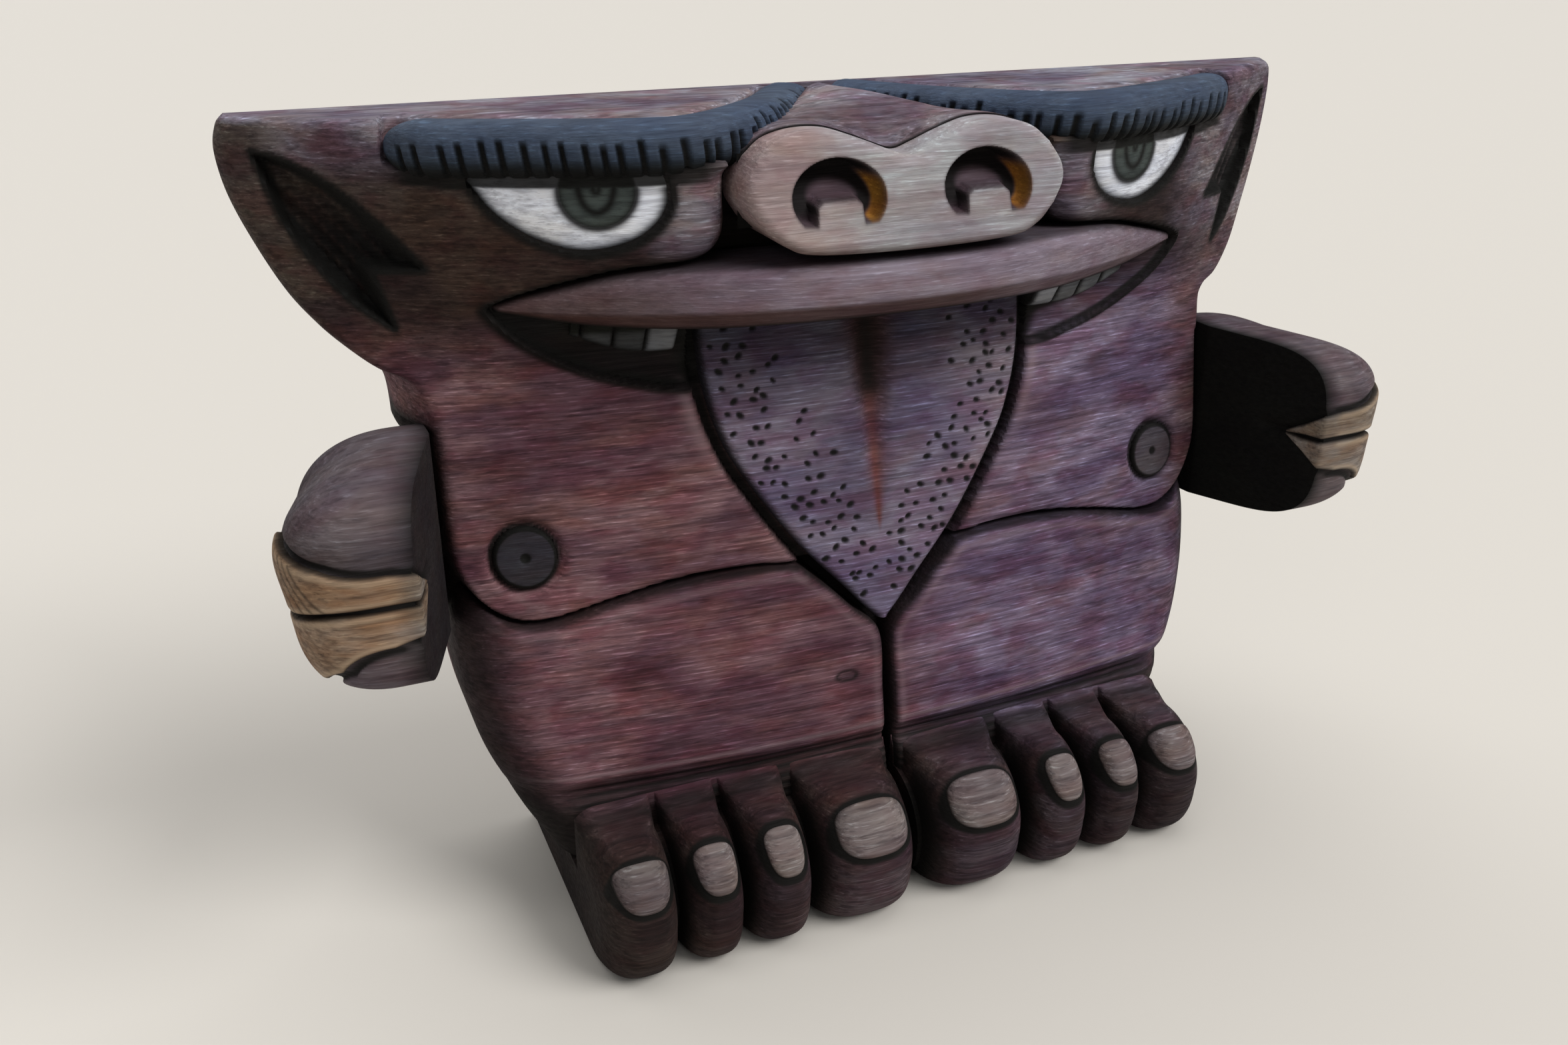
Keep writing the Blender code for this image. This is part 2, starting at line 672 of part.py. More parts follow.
def hand_form(name, sign, finish=None):
    """The whole fist before it is cut for the fingers and the dowel."""
    form = panel(name, hand_outline(sign), flat(HAND_FRONT - REACH), flat(HAND_BACK + REACH), finish)
    plan = pillar("plan", hand_plan(sign), HAND_BOTTOM - REACH, ARM_TOP + REACH)
    combine(form, [plan], 'INTERSECT')
    return soften(form, HAND_BEVEL)


# Dowels, each made once as a pin and again, wider, as a hole

def hand_dowel(name, sign, extra=0.0, finish=None):
    """Pin across the joint of one hand."""
    centre = (sign * (BODY_HALF + GAP / 2), BACK - HAND_DOWEL_INSET, (ARM_TOP + HAND_BOTTOM) / 2)
    return dowel(name, centre, "x", 2 * (HAND_DOWEL_DEPTH + extra), HAND_DOWEL_RADIUS + extra, finish)


def foot_dowel(name, sign, extra=0.0, finish=None):
    """Upright pin between one foot and the body."""
    centre = (sign * FOOT_DOWEL_X, BACK - FOOT_DOWEL_INSET, SEAT - GAP / 2)
    return dowel(name, centre, "z", 2 * (FOOT_DOWEL_DEPTH + extra), FOOT_DOWEL_RADIUS + extra, finish)


def snout_dowel(name, extra=0.0, finish=None):
    """Pin from the snout into the nose bridge."""
    back = snout_front(0, SNOUT_TOP) + SNOUT_THICK
    centre = (0, back, SNOUT_BOTTOM + SNOUT_DOWEL_UP)
    return dowel(name, centre, "y", 2 * (SNOUT_DOWEL_DEPTH + extra), SNOUT_DOWEL_RADIUS + extra, finish)


# Pieces

def make_body(finish):
    """Main block: torso joined to the head, then opened for every piece that is let into it."""
    leg_edge = leg_side_points()[::-1]
    waist = [(LEG_HALF - LEG_WAIST_IN, LEG_WIDE_Z + LEG_WAIST_UP), (BODY_HALF, ARM_BOTTOM),
             (BODY_HALF, ARM_TOP)]
    top = [(NECK_HALF, NECK_Z), (NECK_HALF - 2.6, HEAD_BOTTOM + 2), (0.0, HEAD_BOTTOM + 2)]
    torso = mirrored([(0.0, SEAT)] + leg_edge + waist + top)
    jaw = [(0.0, HEAD_BOTTOM), (MOUTH_HALF, HEAD_BOTTOM), (NECK_HALF - 2.6, NECK_Z + 1.6)]
    head = mirrored(jaw + ear_outline() + [(0.0, HEIGHT)])
    body = panel("body_block", torso, body_front, flat(BACK), finish)
    combine(body, [panel("head", head, head_front, flat(BACK - 0.01))], 'UNION')
    ahead = BACK - HEAD_THICK - REACH
    bay = mirrored([(NOSE_BAY_HALF, SNOUT_BOTTOM - GAP), (NOSE_BAY_HALF, HEIGHT + REACH)])
    cuts = [panel("bay", bay, flat(ahead), flat(BACK - HEAD_THICK + NOSE_BAY_DEPTH))]
    cuts.append(pillar("bridge", grown(bridge_outline(), GAP), SNOUT_BOTTOM - GAP, HEIGHT + REACH))
    cuts.append(panel("lip", grown(lip_outline(), GAP), flat(ahead), moved(lip_front, LIP_THICK + GAP)))
    cuts.append(panel("tongue", grown(tongue_outline(), GAP), flat(ahead),
                      moved(body_front, TONGUE_THICK - TONGUE_PROUD + GAP)))
    for side, sign in SIDES:
        cuts.append(panel("mouth", mouth_outline(sign), flat(ahead), moved(body_front, MOUTH_DEPTH)))
        cuts.append(panel("eye", grown(eye_outline(sign), GAP), flat(ahead),
                          moved(head_front, EYE_SINK + EYE_THICK + GAP)))
        cuts.append(pillar("brow", brow_rebate_outline(sign), BROW_BOTTOM - GAP, HEIGHT + REACH))
        cuts.append(panel("ear", ear_recess_outline(sign), flat(ahead), flat(BACK - EAR_RECESS)))
        cuts.append(panel("leg", grown(leg_outline(sign), GAP), flat(ahead - REACH),
                          moved(body_front, LEG_THICK - LEG_PROUD + GAP)))
        cuts.append(panel("nipple", nipple_outline(sign, GAP), flat(ahead),
                          moved(body_front, NIPPLE_THICK + GAP)))
        cuts.append(hand_dowel("hand_hole", sign, GAP))
        cuts.append(foot_dowel("foot_hole", sign, GAP))
    combine(body, cuts)


def nipple_outline(sign, extra=0.0):
    """A round disc."""
    radius = NIPPLE_RADIUS + extra
    return side_of(arc((NIPPLE_X, NIPPLE_Z), (radius, radius), 0, 345, 23), sign)


def make_face(skin, horn, paint, pale, dark):
    """Brows, nose, eyes, lip and teeth."""
    bridge = pillar("nose_bridge", bridge_outline(), SNOUT_BOTTOM, HEIGHT - BRIDGE_TOP_DROP, skin)
    combine(bridge, [snout_dowel("hole", GAP)])
    snout = panel("snout", snout_outline(), snout_front, moved(snout_front, SNOUT_THICK), horn)
    holes = [snout_dowel("hole", GAP)]
    for side, sign in SIDES:
        holes.append(panel("nostril", nostril_outline(sign), moved(snout_front, -REACH),
                           moved(snout_front, NOSTRIL_DEPTH)))
    combine(snout, holes)
    snout_dowel("snout_dowel", 0.0, pale)
    panel("upper_lip", lip_outline(), lip_front, moved(lip_front, LIP_THICK), horn)
    for side, sign in SIDES:
        pillar("brow_" + side, brow_outline(sign), BROW_BOTTOM, HEIGHT - GAP, dark)
        panel("eye_" + side, eye_outline(sign), moved(head_front, EYE_SINK),
              moved(head_front, EYE_SINK + EYE_THICK), paint)
        rear = moved(body_front, MOUTH_DEPTH - GAP)
        panel("teeth_" + side, teeth_outline(sign), moved(rear, -TOOTH_THICK), rear, paint)


def make_belly(skin, violet, grey):
    """Tongue, nipples and legs."""
    panel("tongue", tongue_outline(), moved(body_front, -TONGUE_PROUD),
          moved(body_front, TONGUE_THICK - TONGUE_PROUD), violet)
    for side, sign in SIDES:
        panel("nipple_" + side, nipple_outline(sign), body_front, moved(body_front, NIPPLE_THICK), grey)
        panel("leg_" + side, leg_outline(sign), moved(body_front, -LEG_PROUD),
              moved(body_front, LEG_THICK - LEG_PROUD), skin)


def make_feet(skin, nail_wood, pale):
    """Feet with four toes each, their nails and the dowels that carry the body."""
    inner = LEG_SEAM
    edges = (inner,) + TOE_SPLITS + (FOOT_HALF,)
    for side, sign in SIDES:
        foot = bar("foot_" + side, foot_profile(), sign * inner, sign * FOOT_HALF, skin)
        front = TOE_FRONT - REACH
        rear = TOE_FRONT + TOE_SLOT_LENGTH
        slots = []
        for x in TOE_SPLITS:
            left = x - TOE_SLOT / 2
            right = x + TOE_SLOT / 2
            corners = [(left, front), (right, front), (right, rear), (left, rear)]
            slots.append(pillar("slot", side_of(corners, sign), -REACH, FOOT_TOP + REACH))
        combine(foot, slots)
        soften(foot, TOE_BEVEL, 50)
        beds = []
        for i, half_sizes in enumerate(NAIL_HALF_SIZES):
            centre = sign * (edges[i] + edges[i + 1]) / 2
            beds.append(nail("bed", centre, half_sizes, GAP))
            nail("toenail_%d_%s" % (i + 1, side), centre, half_sizes, 0.0, nail_wood)
        combine(foot, beds + [foot_dowel("hole", sign, GAP)])
        foot_dowel("foot_dowel_" + side, sign, 0.0, pale)


def make_hands(skin, tan, pale):
    """Fists with two pale fingers each, pinned to the sides of the body."""
    for side, sign in SIDES:
        hand = hand_form("hand_" + side, sign, skin)
        beds = []
        for level, upper in (("upper", True), ("lower", False)):
            outline = finger_outline(upper, sign)
            beds.append(panel("bed", grown(outline, GAP), flat(HAND_FRONT - REACH), flat(FINGER_BACK + GAP)))
            name = "finger_%s_%s" % (level, side)
            finger = panel(name, outline, flat(FINGER_FRONT), flat(FINGER_BACK), tan)
            combine(finger, [hand_form("form", sign)], 'INTERSECT')
        combine(hand, beds + [hand_dowel("hole", sign, GAP)])
        hand_dowel("hand_dowel_" + side, sign, 0.0, pale)


def main():
    """Clear the scene and make every piece."""
    for obj in list(bpy.data.objects):
        bpy.data.objects.remove(obj)
    block = material("stained_block", (0.075, 0.035, 0.032), 0.6)
    skin = material("stained_skin", (0.085, 0.036, 0.036), 0.6)
    horn = material("pale_stain", (0.17, 0.10, 0.085), 0.6)
    violet = material("violet_stain", (0.06, 0.04, 0.085), 0.55)
    paint = material("white_paint", (0.62, 0.62, 0.60), 0.5)
    dark = material("slate_stain", (0.028, 0.033, 0.04), 0.6)
    grey = material("grey_stain", (0.045, 0.042, 0.045), 0.6)
    tan = material("bare_tan_wood", (0.26, 0.16, 0.09), 0.6)
    nails = material("bare_nail_wood", (0.20, 0.15, 0.12), 0.6)
    pale = material("dowel_beech", (0.55, 0.38, 0.22), 0.6)
    make_body(block)
    make_face(block, horn, paint, pale, dark)
    make_belly(skin, violet, grey)
    make_feet(skin, nails, pale)
    make_hands(grey, tan, pale)


main()
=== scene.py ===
"""Looks of the carved gremlin card holder: carved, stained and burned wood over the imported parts.

Lengths are in millimetres and become metres when a mesh is made.
x runs to the right as seen from the front, y to the back and z up; the soles stand on z = 0.
"""

import math

import bpy
import numpy as np
from mathutils import Matrix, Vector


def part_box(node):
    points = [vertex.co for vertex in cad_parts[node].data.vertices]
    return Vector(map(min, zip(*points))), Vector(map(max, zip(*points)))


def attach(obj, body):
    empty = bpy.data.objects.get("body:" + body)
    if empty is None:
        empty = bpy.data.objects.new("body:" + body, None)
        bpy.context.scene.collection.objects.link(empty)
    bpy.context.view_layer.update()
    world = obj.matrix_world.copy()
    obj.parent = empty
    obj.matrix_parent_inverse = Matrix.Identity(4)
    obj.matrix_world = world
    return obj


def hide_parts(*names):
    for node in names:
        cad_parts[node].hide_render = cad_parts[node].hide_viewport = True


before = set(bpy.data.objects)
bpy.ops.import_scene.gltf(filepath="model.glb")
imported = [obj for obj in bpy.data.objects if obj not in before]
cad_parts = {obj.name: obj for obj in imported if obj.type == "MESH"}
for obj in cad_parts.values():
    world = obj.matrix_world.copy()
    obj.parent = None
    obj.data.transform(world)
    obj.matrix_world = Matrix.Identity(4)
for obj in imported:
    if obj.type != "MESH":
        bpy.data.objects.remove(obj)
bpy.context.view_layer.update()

MM = 0.001
SIDES = (("left", -1), ("right", 1))


def box_mm(node):
    """Lowest and highest corners of a CAD node, in millimetres."""
    low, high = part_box(node)
    return np.array(low) / MM, np.array(high) / MM


# Driving sizes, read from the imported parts
BODY_LOW, BODY_HIGH = box_mm("body_block")
FOOT_LOW, FOOT_HIGH = box_mm("foot_right")
BROW_LOW, BROW_HIGH = box_mm("brow_right")
NIPPLE_LOW, NIPPLE_HIGH = box_mm("nipple_right")
TOP = BODY_HIGH[2]
BACK = BODY_HIGH[1]
SEAT = BODY_LOW[2]

# Outlines of the carving, right half, as x and z; BROW_PATH is in plan, as x and y
SIDE_LINE = [(37.4, 8.3), (40.4, 13.6), (43.2, 20.0), (44.7, 26.0), (45.0, 29.0), (43.6, 32.4),
             (45.2, 34.2), (45.5, 38.0), (45.5, 50.0), (45.6, 56.5), (46.2, 59.0), (47.4, 60.5),
             (49.4, 61.4), (52.0, 63.5), (54.0, 65.5), (56.1, 68.3), (58.2, 72.6), (59.9, 77.2),
             (60.5, 81.2), (60.0, 83.6), (59.2, 84.5)]
EAR_HOLLOW = [(57.4, 81.4), (54.6, 80.6), (51.4, 78.6), (48.0, 75.4), (44.4, 71.2), (49.0, 71.0),
              (47.4, 65.5), (50.6, 68.0), (53.4, 71.6), (55.6, 75.4)]
LOWER_LIP_LINE = [(39.3, 67.1), (37.6, 65.1), (35.0, 63.0), (30.0, 60.2), (25.0, 58.5),
                  (19.5, 57.5), (0.0, 57.0)]
UPPER_LIP_TOP = [(0.0, 71.4), (12.0, 71.5), (19.5, 71.4), (27.0, 70.8), (32.5, 69.6), (37.0, 68.4),
                 (39.2, 67.5)]
UPPER_LIP_FOOT = [(0.0, 65.2), (12.0, 65.0), (21.0, 64.9), (30.0, 65.5), (38.6, 67.0)]
TONGUE_SIDE = [(0.7, 29.9), (2.4, 31.7), (4.3, 33.9), (9.7, 40.0), (15.1, 48.1), (17.0, 52.2),
               (18.1, 56.3), (18.6, 61.0), (18.7, 66.6)]
CHEST_FOOT = [(0.0, 36.9), (9.0, 37.5), (16.0, 38.1), (22.5, 37.8), (29.0, 36.7), (36.0, 35.2),
              (39.6, 35.5), (42.4, 37.3), (44.4, 40.3), (45.2, 43.4), (45.3, 48.0), (45.3, 55.0)]
EYE_FOOT = [(22.9, 78.3), (23.0, 76.9), (24.2, 75.0), (26.6, 73.5), (30.3, 72.8), (33.6, 73.5),
            (36.4, 75.0), (38.4, 76.8), (40.0, 79.2)]
EYE_HEAD = [(23.6, 80.4), (39.6, 80.4)]
PUPIL = [(27.75, 80.5), (27.8, 78.4), (28.3, 77.0), (29.3, 76.4), (30.3, 77.0), (30.8, 78.4),
         (30.85, 80.5)]
PUPIL_CORE = [(29.0, 80.5), (29.05, 78.6), (29.3, 78.2), (29.55, 78.6), (29.6, 80.5)]
LEG_OUTER = [(37.8, 8.3), (40.8, 13.6), (43.6, 20.0), (45.0, 26.0), (45.4, 31.0), (45.2, 35.0),
             (44.2, 38.4)]
LEG_TOP = [(9.4, 37.2), (13.0, 37.7), (18.1, 37.7), (24.0, 37.2), (29.0, 36.4), (36.0, 34.9),
           (39.6, 35.1), (42.2, 36.6), (44.2, 38.4)]
LEG_INNER = [(0.6, 8.3), (0.6, 15.0), (0.6, 22.0), (0.7, 28.6), (3.6, 31.6), (6.4, 34.5),
             (9.4, 37.2)]
SNOUT_FOOT = [(0.0, 71.9), (10.1, 72.2), (13.4, 73.2), (15.5, 75.0)]
SNOUT_SIDE = [(15.5, 75.0), (16.7, 77.0), (16.7, 78.8), (15.5, 80.8)]
SNOUT_TOP = [(0.0, 80.4), (2.0, 81.0), (4.6, 82.0), (7.6, 82.9), (10.7, 83.0), (13.6, 82.3), (15.5, 80.8)]
BROW_PATH = [(46.2, 8.9), (42.0, 5.9), (37.4, 3.8), (29.0, 0.5), (24.6, -0.8), (21.0, -0.9),
             (17.0, 1.2), (13.3, 4.4), (9.8, 8.0), (7.3, 11.3), (5.0, 14.8), (3.4, 17.4)]
# Half width of the nose bridge, by how far back it is
BRIDGE_Y = (-1.2, 1.0, 4.4, 8.0, 11.3, 14.8, 16.2)
BRIDGE_HALF = (16.0, 15.0, 11.6, 8.0, 5.4, 3.0, 2.0)

# Inner face of a hand, which opens out in front of its bend
PALM_X = 45.8
PALM_BEND_Y = 4.1
PALM_FLARE = 0.3

# Front faces: how far forward they start, how they lean per millimetre of height, and the divisor of x
# squared that bows them
HEAD_FRONT = -5.5
HEAD_BOW = 170.0
BODY_FRONT = -8.0
BODY_LEAN = 0.17
BODY_BOW = 480.0
LIP_FRONT = -8.0
LIP_BOW = 123.0
SNOUT_FRONT = -8.1
SNOUT_LEAN = 0.27

# Cuts in the block: depths of the beds and hollows, and the bay round the nose, which widens to its foot
BODY_ROWS = 250
BODY_COLUMNS = 330
BAY_HALF = 17.1
BAY_FLOOR = 2.0
BAY_FOOT = 71.2
BAY_FLARE = 3.8
BAY_ROUND = 4.2
MOUTH_DEPTH = 4.6
MOUTH_SLOPE = 0.42
EAR_DEPTH = 1.1
EAR_DISH = 0.9
GOUGE_DEPTH = 0.35
GOUGE_WIDTH = 1.2
GOUGE_WAY = (0.80, -0.60)
EYE_BED = 1.6
TONGUE_BED = 1.7
LEG_BED_DEPTH = 3.0
LEG_BED_ROUND = 5.0
BROW_BED = 2.3
NIPPLE_BED = 1.2
RING_DEPTH = 0.6
NECK_SWELL = 2.0
BROW_SHADE_Z = 78.2

# Planes that the hidden backs of the pieces lie on
SNOUT_BACK = 0.6
LIP_BACK = 7.0
TONGUE_BACK = 7.0
EYE_BACK = 5.4
TEETH_BACK = 9.0
NIPPLE_BACK = 5.0
LEG_BACK = 13.0

# Nipples and eyes: places, radii, how far they stand off the front or sink into it
NIPPLE_X = (NIPPLE_LOW[0] + NIPPLE_HIGH[0]) / 2
NIPPLE_Z = (NIPPLE_LOW[2] + NIPPLE_HIGH[2]) / 2
NIPPLE_RADIUS = (NIPPLE_HIGH[2] - NIPPLE_LOW[2]) / 2
NIPPLE_LIFT = 0.1
EYE_SINK = 0.75
EYE_DOME = 0.55
IRIS_X = 29.2
IRIS_Z = 78.3
IRIS_RADIUS = 3.4
# Upper lip, nose bridge and snout
LIP_GAP = 0.25
LIP_HALF = 38.7
LIP_ROUND = 1.6
LIP_FACET = 0.36
LIP_UNDERCUT = 1.25
BRIDGE_FOOT = 74.0
BRIDGE_TOP = 82.6
BRIDGE_RISE = 1.5
SNOUT_ROUND = 1.1
NOSTRIL_DEPTH = 1.5
NOSTRIL_DEEPER = 1.7
NOSTRIL_X = 7.9
NOSTRIL_Z = 77.2
NOSTRIL_HALF_WIDTH = 4.7
NOSTRIL_HALF_HEIGHT = 3.5
NOSTRIL_TAB = [(2.5, -2.3), (2.35, -0.6), (1.7, -0.1), (-1.7, -0.1), (-2.35, -0.6), (-2.5, -2.3)]
# Feet: sides of the toes, rounding of their tips, gaps between them, and the step up to the leg
TOE_SPLITS = (0.5, 13.2, 21.0, 28.1, 36.6)
TOE_RADIUS = 6.5
FOOT_TOP = FOOT_HIGH[2]
TOE_FRONT = FOOT_LOW[1]
INSTEP_Y = -4.6
INSTEP_RISE = 0.9
GAP_DEPTH = 5.6
GAP_DROP = 2.6
TOE_TUCK = 4.0
# Profile of the heel, from the foot's top down and back
HEEL_Y = (-4.4, -4.4, 4.0, 12.0, 17.6)
HEEL_Z = (12.0, 8.0, 8.0, 8.0, 8.0)
# Middle, half width, half height and taper of each nail, from the big toe out
NAILS = ((6.8, 4.2, 3.2, 0.0), (17.1, 2.05, 2.8, 0.1), (24.6, 2.2, 2.8, 0.1), (32.4, 2.9, 2.7, 0.15))
NAIL_TURN = math.radians(43)
NAIL_POWER = 2.8
NAIL_SQUARE = 0.72
NAIL_LIFT = 0.35
NAIL_BED = 1.2
# Teeth, the first of them with less painted shade than the others, and less of it on the right
TOOTH_WIDTH = 3.1
TEETH_FOOT = [(24.2, 61.5), (27.6, 62.2), (31.6, 63.9)]
TEETH_TOP = 67.0
TEETH_START = {-1: 21.3, 1: 19.6}
TEETH_SHADE = {-1: (0.82, 0.95), 1: (0.68, 0.85)}
TEETH_SINK = 1.7
TOOTH_ROUND = 0.7
# Legs: the crease over the feet, combed with lines, and the knot
LEG_LIFT = 0.8
LEG_ROUND = 5.6
LEG_LIMIT = 11.5
CREASE_Z = 15.9
CREASE_DEPTH = 0.9
COMB_PITCH = 0.85
KNOT_X = 5.1
KNOT_Z = 24.4
KNOT_DEPTH = 0.25
# Brows and the hairs cut into them
BROW_MIDDLE = (BROW_LOW[2] + BROW_HIGH[2]) / 2
BROW_HALF_WIDTH = 2.4
BROW_HALF_HEIGHT = 2.55
BROW_END = 4.4
HAIRS = 35
HAIR_DEPTH = 0.5
HAIR_SLANT = 0.14
# Dots and groove of the tongue
TONGUE_LIFT = 0.2
DOT_SPACING = 1.75
DOT_JITTER = 0.55
DOT_HALF_LENGTH = 0.48
DOT_HALF_WIDTH = 0.33
DOT_BAND = 7.2
DOT_DEPTH = 0.18
GROOVE_DEPTH = 1.3
# Half width of the groove, by height
GROOVE_Z = (39.3, 45.0, 50.0, 55.0, 61.0)
GROOVE_HALF = (0.05, 0.85, 1.3, 1.65, 2.2)


# Lines and sheets

def shares(count, ease=0.0):
    """Even steps from 0 to 1, drawn towards both ends by a half cosine as ease goes from 0 to 1."""
    t = np.linspace(0, 1, count)
    return (1 - ease) * t + ease * (0.5 - 0.5 * np.cos(np.pi * t))


def run_length(line):
    """Length along a line of straight segments up to each of its points."""
    return np.concatenate([[0], np.cumsum(np.linalg.norm(np.diff(line, axis=0), axis=1))])


def sideways(line):
    """Unit vectors across a line in plan, a quarter turn on from the way along it."""
    way = np.gradient(line, axis=0)
    way /= np.linalg.norm(way, axis=1)[:, None]
    return np.stack([-way[:, 1], way[:, 0]], axis=1)


def circle(count):
    """Cosines and sines of even steps round a circle."""
    turn = np.linspace(0, 2 * np.pi, count + 1)[:-1]
    return np.cos(turn), np.sin(turn)


def squared(wave, power):
    """A cosine or sine raised to a power with its sign kept, which makes a squarer round."""
    return np.sign(wave) * np.abs(wave)**power


def curve(points, share):
    """Smooth line through the points: cubic Hermite spans whose slope at a point is half the step between
    its neighbours, read at the given shares of the line's length."""
    p = np.asarray(points, float)
    slope = np.gradient(p, axis=0)
    span = np.linspace(0, len(p) - 1, 30 * (len(p) - 1) + 1)
    i = np.minimum(span.astype(int), len(p) - 2)
    t = (span - i)[:, None]
    dense = ((2 * t**3 - 3 * t**2 + 1) * p[i] + (t**3 - 2 * t**2 + t) * slope[i]
             + (3 * t**2 - 2 * t**3) * p[i + 1] + (t**3 - t**2) * slope[i + 1])
    length = run_length(dense)
    return np.stack([np.interp(share * length[-1], length, axis) for axis in dense.T], axis=1)


def ruled(foot, head, v):
    """Sheet of straight lines that rise from a foot line to a head line."""
    v = v[:, None, None]
    return (1 - v) * foot + v * head


def patch(foot, right, head, left, u, v):
    """Sheet stretched between four edge lines: the blend of foot to head, plus the blend of left to right,
    less the blend of the four corners."""
    u = u[None, :, None]
    crossing = (1 - u) * left[:, None] + u * right[:, None]
    corners = ruled((1 - u) * foot[0] + u * foot[-1], (1 - u) * head[0] + u * head[-1], v)
    return ruled(foot, head, v) + crossing - corners


def mirrored(half_line):
    """A line from the middle out to the right, with its mirror image before it."""
    right = np.array(half_line)
    return np.concatenate([right[:0:-1] * (-1, 1), right])


def distance(x, z, line):
    """Distance from each point to the nearest stretch of a line of straight segments."""
    a = line[:-1]
    d = line[1:] - a
    px = x[..., None] - a[:, 0]
    pz = z[..., None] - a[:, 1]
    t = np.clip((px * d[:, 0] + pz * d[:, 1]) / (d**2).sum(1), 0, 1)
    return np.sqrt(((px - t * d[:, 0])**2 + (pz - t * d[:, 1])**2).min(-1))


def beyond(x, z, outline):
    """Signed distance to a closed outline, negative inside; inside is where a ray to the right crosses
    the outline an odd number of times."""
    loop = np.concatenate([outline, outline[:1]])
    a = loop[:-1]
    b = loop[1:]
    spans = (a[:, 1] > z[..., None]) != (b[:, 1] > z[..., None])
    rise = np.where(a[:, 1] == b[:, 1], 1e-9, b[:, 1] - a[:, 1])
    cross = a[:, 0] + (z[..., None] - a[:, 1]) / rise * (b[:, 0] - a[:, 0])
    odd = (spans & (cross > x[..., None])).sum(-1) % 2 == 1
    return np.where(odd, -1, 1) * distance(x, z, loop)


def step(start, end, value):
    """0 at start and 1 at end, rising as 3t^2 - 2t^3 between them."""
    t = np.clip((value - start) / (end - start), 0, 1)
    return t * t * (3 - 2 * t)


def line_mark(away, half_width):
    """1 on a line, falling off as a bell curve of the given half width."""
    return np.exp(-(away / half_width)**2)


def crisp_mark(away, half_width):
    """1 across a line, falling off steeply at the given half width, by the fourth power."""
    return np.exp(-(away / half_width)**4)


def roll(away, radius):
    """Depth of a quarter round along an edge: the radius on the edge, and nothing further in than that."""
    t = np.clip(1 - away / radius, 0, 1)
    return radius * (1 - np.sqrt(1 - t * t))


# Meshes

def at(x, y, z):
    """Points from their x, y and z, each spread to the shape of them all."""
    return np.stack(np.broadcast_arrays(x, y, z), axis=-1)


def grid_quads(rows, columns, closed=False):
    """Corner numbers of the cells of a grid of points, joined round if closed."""
    index = np.arange(rows * columns).reshape(rows, columns)
    if closed:
        index = np.concatenate([index, index[:, :1]], axis=1)
    return np.stack([index[:-1, :-1], index[:-1, 1:], index[1:, 1:], index[1:, :-1]], axis=-1).reshape(-1, 4)


def volume(points, faces):
    """Six times the volume that the faces enclose, from a fan of triangles on each face's first corner."""
    corner = points[faces]
    first = corner[:, :1]
    fans = np.cross(corner[:, 1:-1] - first, corner[:, 2:] - first)
    return (first * fans).sum()


def shell(front, back, rings=2):
    """Closed shell of a carved panel: the front grid, walls from its border to the plane y = back in equal
    rings, and one flat back. Returns points, quads, the back's rim, the grid point that each point came
    from, which is -1 on the back, and the grid's shape."""
    rows, columns = front.shape[:2]
    index = np.arange(rows * columns).reshape(rows, columns)
    rim = np.concatenate([index[0, :-1], index[:-1, -1], index[-1, :0:-1], index[:0:-1, 0]])
    grid = front.reshape(-1, 3)
    share = np.linspace(0, 1, rings + 1)[1:, None]
    walls = np.repeat(grid[rim][None], rings, axis=0)
    walls[..., 1] += share * (back - walls[..., 1])
    points = np.concatenate([grid, walls.reshape(-1, 3)])
    loops = np.concatenate([rim[None], rows * columns + np.arange(rings * len(rim)).reshape(rings, -1)])
    around = np.concatenate([loops, loops[:, :1]], axis=1)
    wall_quads = np.stack([around[:-1, :-1], around[1:, :-1], around[1:, 1:], around[:-1, 1:]], axis=-1)
    quads = np.concatenate([grid_quads(rows, columns), wall_quads.reshape(-1, 4)])
    origin = np.concatenate([np.arange(len(grid)), np.tile(rim, rings - 1), np.full(len(rim), -1)])
    return points, quads, [loops[-1][::-1]], origin, (rows, columns)


def tube(sections):
    """Closed shell of loops joined one to the next, with a flat face on the first and the last loop."""
    rows, columns = sections.shape[:2]
    quads = grid_quads(rows, columns, closed=True)
    ends = [np.arange(columns)[::-1], (rows - 1) * columns + np.arange(columns)]
    return sections.reshape(-1, 3), quads, ends, np.arange(rows * columns), (rows, columns)


def carved(node, form, finish, marks, side=1, crease=38):
    """Makes the piece that stands for a CAD node from a closed form in millimetres. The marks are values
    from 0 to 1 on its grid, 0 on a flat back, which its finish reads. Faces turn outwards by the sign of
    the enclosed volume."""
    points, quads, rims, origin, shape = form
    points = points * np.array([side, 1, 1])
    enclosed = volume(points, quads) + sum(volume(points, rim[None]) for rim in rims)
    if enclosed < 0:
        quads = quads[:, ::-1]
        rims = [rim[::-1] for rim in rims]
    mesh = bpy.data.meshes.new(node + "_carved")
    mesh.from_pydata(points * MM, [], quads.tolist() + [rim.tolist() for rim in rims])
    mesh.polygons.foreach_set("use_smooth", np.ones(len(mesh.polygons), bool))
    mesh.set_sharp_from_angle(angle=math.radians(crease))
    for name, values in marks.items():
        layer = mesh.attributes.new(name, "FLOAT", "POINT")
        held = np.append(np.broadcast_to(values, shape), 0.0)[origin]
        layer.data.foreach_set("value", np.clip(held, 0, 1).astype(np.float32))
    mesh.materials.append(FINISHES[finish])
    made = bpy.data.objects.new(node + "_carved", mesh)
    bpy.context.scene.collection.objects.link(made)
    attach(made, "root")
    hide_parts(node)


# Materials

def linear(colour):
    """sRGB hex to linear red, green, blue and alpha."""
    c = np.array([int(colour[i:i + 2], 16) for i in (1, 3, 5)]) / 255
    return tuple(np.where(c <= 0.04045, c / 12.92, ((c + 0.055) / 1.055)**2.4)) + (1.0,)


